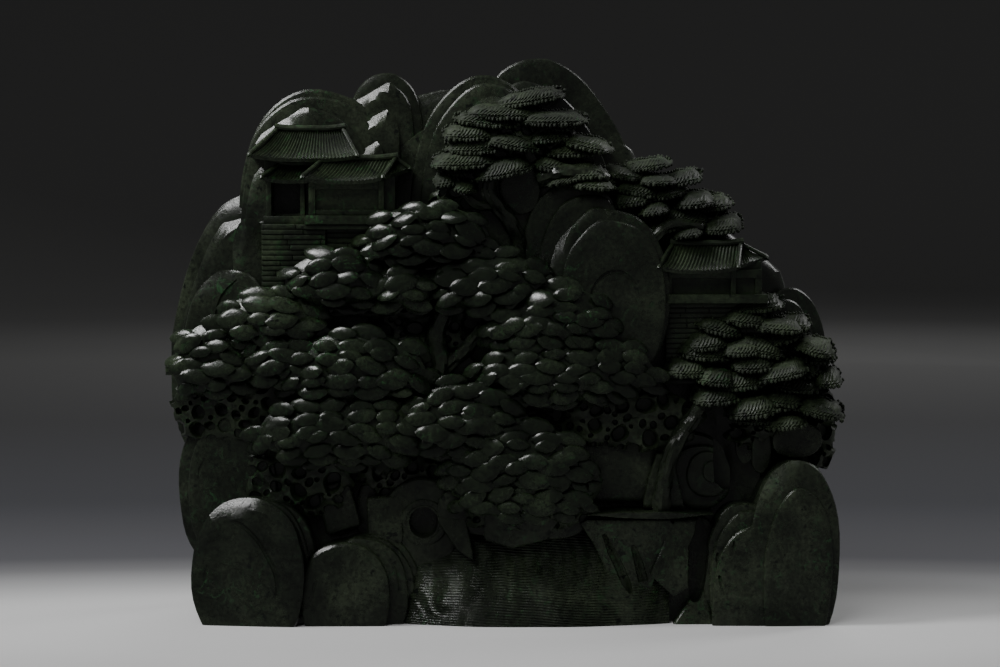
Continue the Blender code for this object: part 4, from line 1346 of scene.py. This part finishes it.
class JADE_OT_stage(bpy.types.Operator):
    """Adds the table, the backdrop, soft lights and the camera"""
    bl_idname = "jade.stage"
    bl_label = "Table, lights and camera"

    def execute(self, context):
        self.backdrop()
        self.lights()
        self.camera()
        return {"FINISHED"}

    def backdrop(self):
        """A round table that curves up into a wall, its colour a painted pool of light: palest a little in
        front of the carving, where it lifts the carving's shadow, then darkening away from it in painted
        shade, a little lighter again high on the wall.
        """
        c = colours()
        deselect()
        bpy.ops.mesh.primitive_circle_add(vertices=96, radius=0.6, fill_type="NGON")
        sweep = bpy.context.object
        sweep.name = "table_and_wall"
        flat, bend, top = 2.4, 0.8, 3.4
        turns = [math.radians(angle) for angle in range(10, 91, 10)]
        profile = [(1.4, 0.0), (flat, 0.0)]
        profile += [(flat + bend * math.sin(turn), bend - bend * math.cos(turn)) for turn in turns]
        profile.append((flat + bend, top))
        radius, height = 0.6, 0.0
        edit_all("EDGE")
        bpy.ops.mesh.region_to_loop()
        for out, up in profile:
            bpy.ops.mesh.extrude_edges_move(TRANSFORM_OT_translate={"value": (0, 0, up - height)})
            bpy.ops.transform.resize(value=(out / radius, out / radius, 1), center_override=(0, 0, up))
            radius, height = out, up
        face_outward(inside=True)
        bpy.ops.object.shade_smooth()
        material = bpy.data.materials.new("paper_with_painted_light")
        material.use_nodes = True
        nodes, links = material.node_tree.nodes, material.node_tree.links
        shader = nodes["Principled BSDF"]
        where = nodes.new("ShaderNodeTexCoord")
        painted_light_pool = nodes.new("ShaderNodeMapping")
        away = nodes.new("ShaderNodeVectorMath")
        band = nodes.new("ShaderNodeValToRGB")
        painted_light_pool.inputs["Scale"].default_value = (0.21, 0.575, 1.0)
        painted_light_pool.inputs["Location"].default_value = (0, 0.045, 0)
        away.operation = "LENGTH"
        links.new(where.outputs["Object"], painted_light_pool.inputs["Vector"])
        links.new(painted_light_pool.outputs["Vector"], away.inputs[0])
        links.new(away.outputs["Value"], band.inputs["Fac"])
        # Painted light: the table's pale pool about the carving, brightest in front where it lifts the
        # carving's shadow. It falls off behind in painted shade, faintly blue in the middle, up to the
        # wall's tone high up.
        stops = (
            (0.0, [1.12 * channel for channel in c.table]), (0.05, c.table), (0.076, (0.57, 0.57, 0.57)),
            (0.101, (0.36, 0.36, 0.365)), (0.130, (0.16, 0.16, 0.166)), (0.155, (0.082, 0.082, 0.090)),
            (0.30, (0.047, 0.048, 0.054)), (0.61, (0.054, 0.054, 0.056)), (1.0, c.wall),
        )
        ramp = band.color_ramp
        while len(ramp.elements) < len(stops):
            ramp.elements.new(0.5)
        for element, (position, colour) in zip(ramp.elements, stops):
            element.position = position
            element.color = (*colour, 1)
        links.new(band.outputs["Color"], shader.inputs["Base Color"])
        shader.inputs["Roughness"].default_value = 0.9
        sweep.data.materials.append(material)
        sweep.visible_glossy = False

    def lights(self):
        def soft(name, spot, size, watts, aim, mirrored=True):
            data = bpy.data.lights.new(name, "AREA")
            data.shape = "RECTANGLE"
            data.size, data.size_y = size
            data.energy = watts
            lamp = bpy.data.objects.new(name, data)
            lamp.location = spot
            lamp.rotation_euler = (Vector(aim) - Vector(spot)).to_track_quat("-Z", "Y").to_euler()
            lamp.visible_glossy = mirrored
            bpy.context.scene.collection.objects.link(lamp)

        soft("upper_left", (-0.70, -0.18, 1.05), (0.26, 0.36), 8.4, (-0.05, 0, 0.18))
        soft("front_fill", (-0.9, -1.4, 1.9), (1.6, 1.2), 24, (0, 0, 0.12), False)
        soft("upper_right", (0.8, 0.45, 0.9), (0.3, 0.5), 3, (0, 0, 0.15))
        soft("back_fill", (0.5, 1.9, 1.2), (1.4, 1.0), 12, (0, 0, 0.14), False)
        world = bpy.data.worlds.new("room")
        world.use_nodes = True
        background = world.node_tree.nodes["Background"]
        background.inputs["Color"].default_value = (0.62, 0.62, 0.62, 1)
        background.inputs["Strength"].default_value = 0.135
        bpy.context.scene.world = world

    def camera(self):
        data = bpy.data.cameras.new("camera")
        data.lens = 103
        data.sensor_width = 36
        data.clip_end = 20
        view = bpy.data.objects.new("camera", data)
        tilt = math.radians(4)
        aim = Vector((-0.0025, 0, 0.145))
        back = Vector((0, -math.cos(tilt), math.sin(tilt)))
        view.location = aim + 1.5 * back
        view.rotation_euler = (-back).to_track_quat("-Z", "Y").to_euler()
        bpy.context.scene.collection.objects.link(view)
        bpy.context.scene.camera = view


class JADE_PT_carving(bpy.types.Panel):
    """Lists the steps that model the carving"""
    bl_idname = "JADE_PT_carving"
    bl_label = "Jade carving"
    bl_space_type = "VIEW_3D"
    bl_region_type = "UI"
    bl_category = "Carving"

    def draw(self, context):
        for kind in STEPS:
            self.layout.operator(kind.bl_idname)
        for name in CarvingSizes.__annotations__:
            self.layout.prop(context.scene.carving_sizes, name)
        for name in CarvingColours.__annotations__:
            self.layout.prop(context.scene.carving_colours, name)


STEPS = (JADE_OT_rocks, JADE_OT_webs, JADE_OT_pine, JADE_OT_needles, JADE_OT_pavilions, JADE_OT_stage)
CLASSES = (CarvingSizes, CarvingColours, *STEPS, JADE_PT_carving)


def register():
    for kind in CLASSES:
        bpy.utils.register_class(kind)
    bpy.types.Scene.carving_sizes = PointerProperty(type=CarvingSizes)
    bpy.types.Scene.carving_colours = PointerProperty(type=CarvingColours)


def unregister():
    del bpy.types.Scene.carving_colours
    del bpy.types.Scene.carving_sizes
    for kind in reversed(CLASSES):
        bpy.utils.unregister_class(kind)


def main():
    register()
    bpy.ops.jade.rocks()
    bpy.ops.jade.webs()
    bpy.ops.jade.pine()
    bpy.ops.jade.needles()
    bpy.ops.jade.pavilions()
    bpy.ops.jade.stage()


if __name__ == "__main__":
    main()
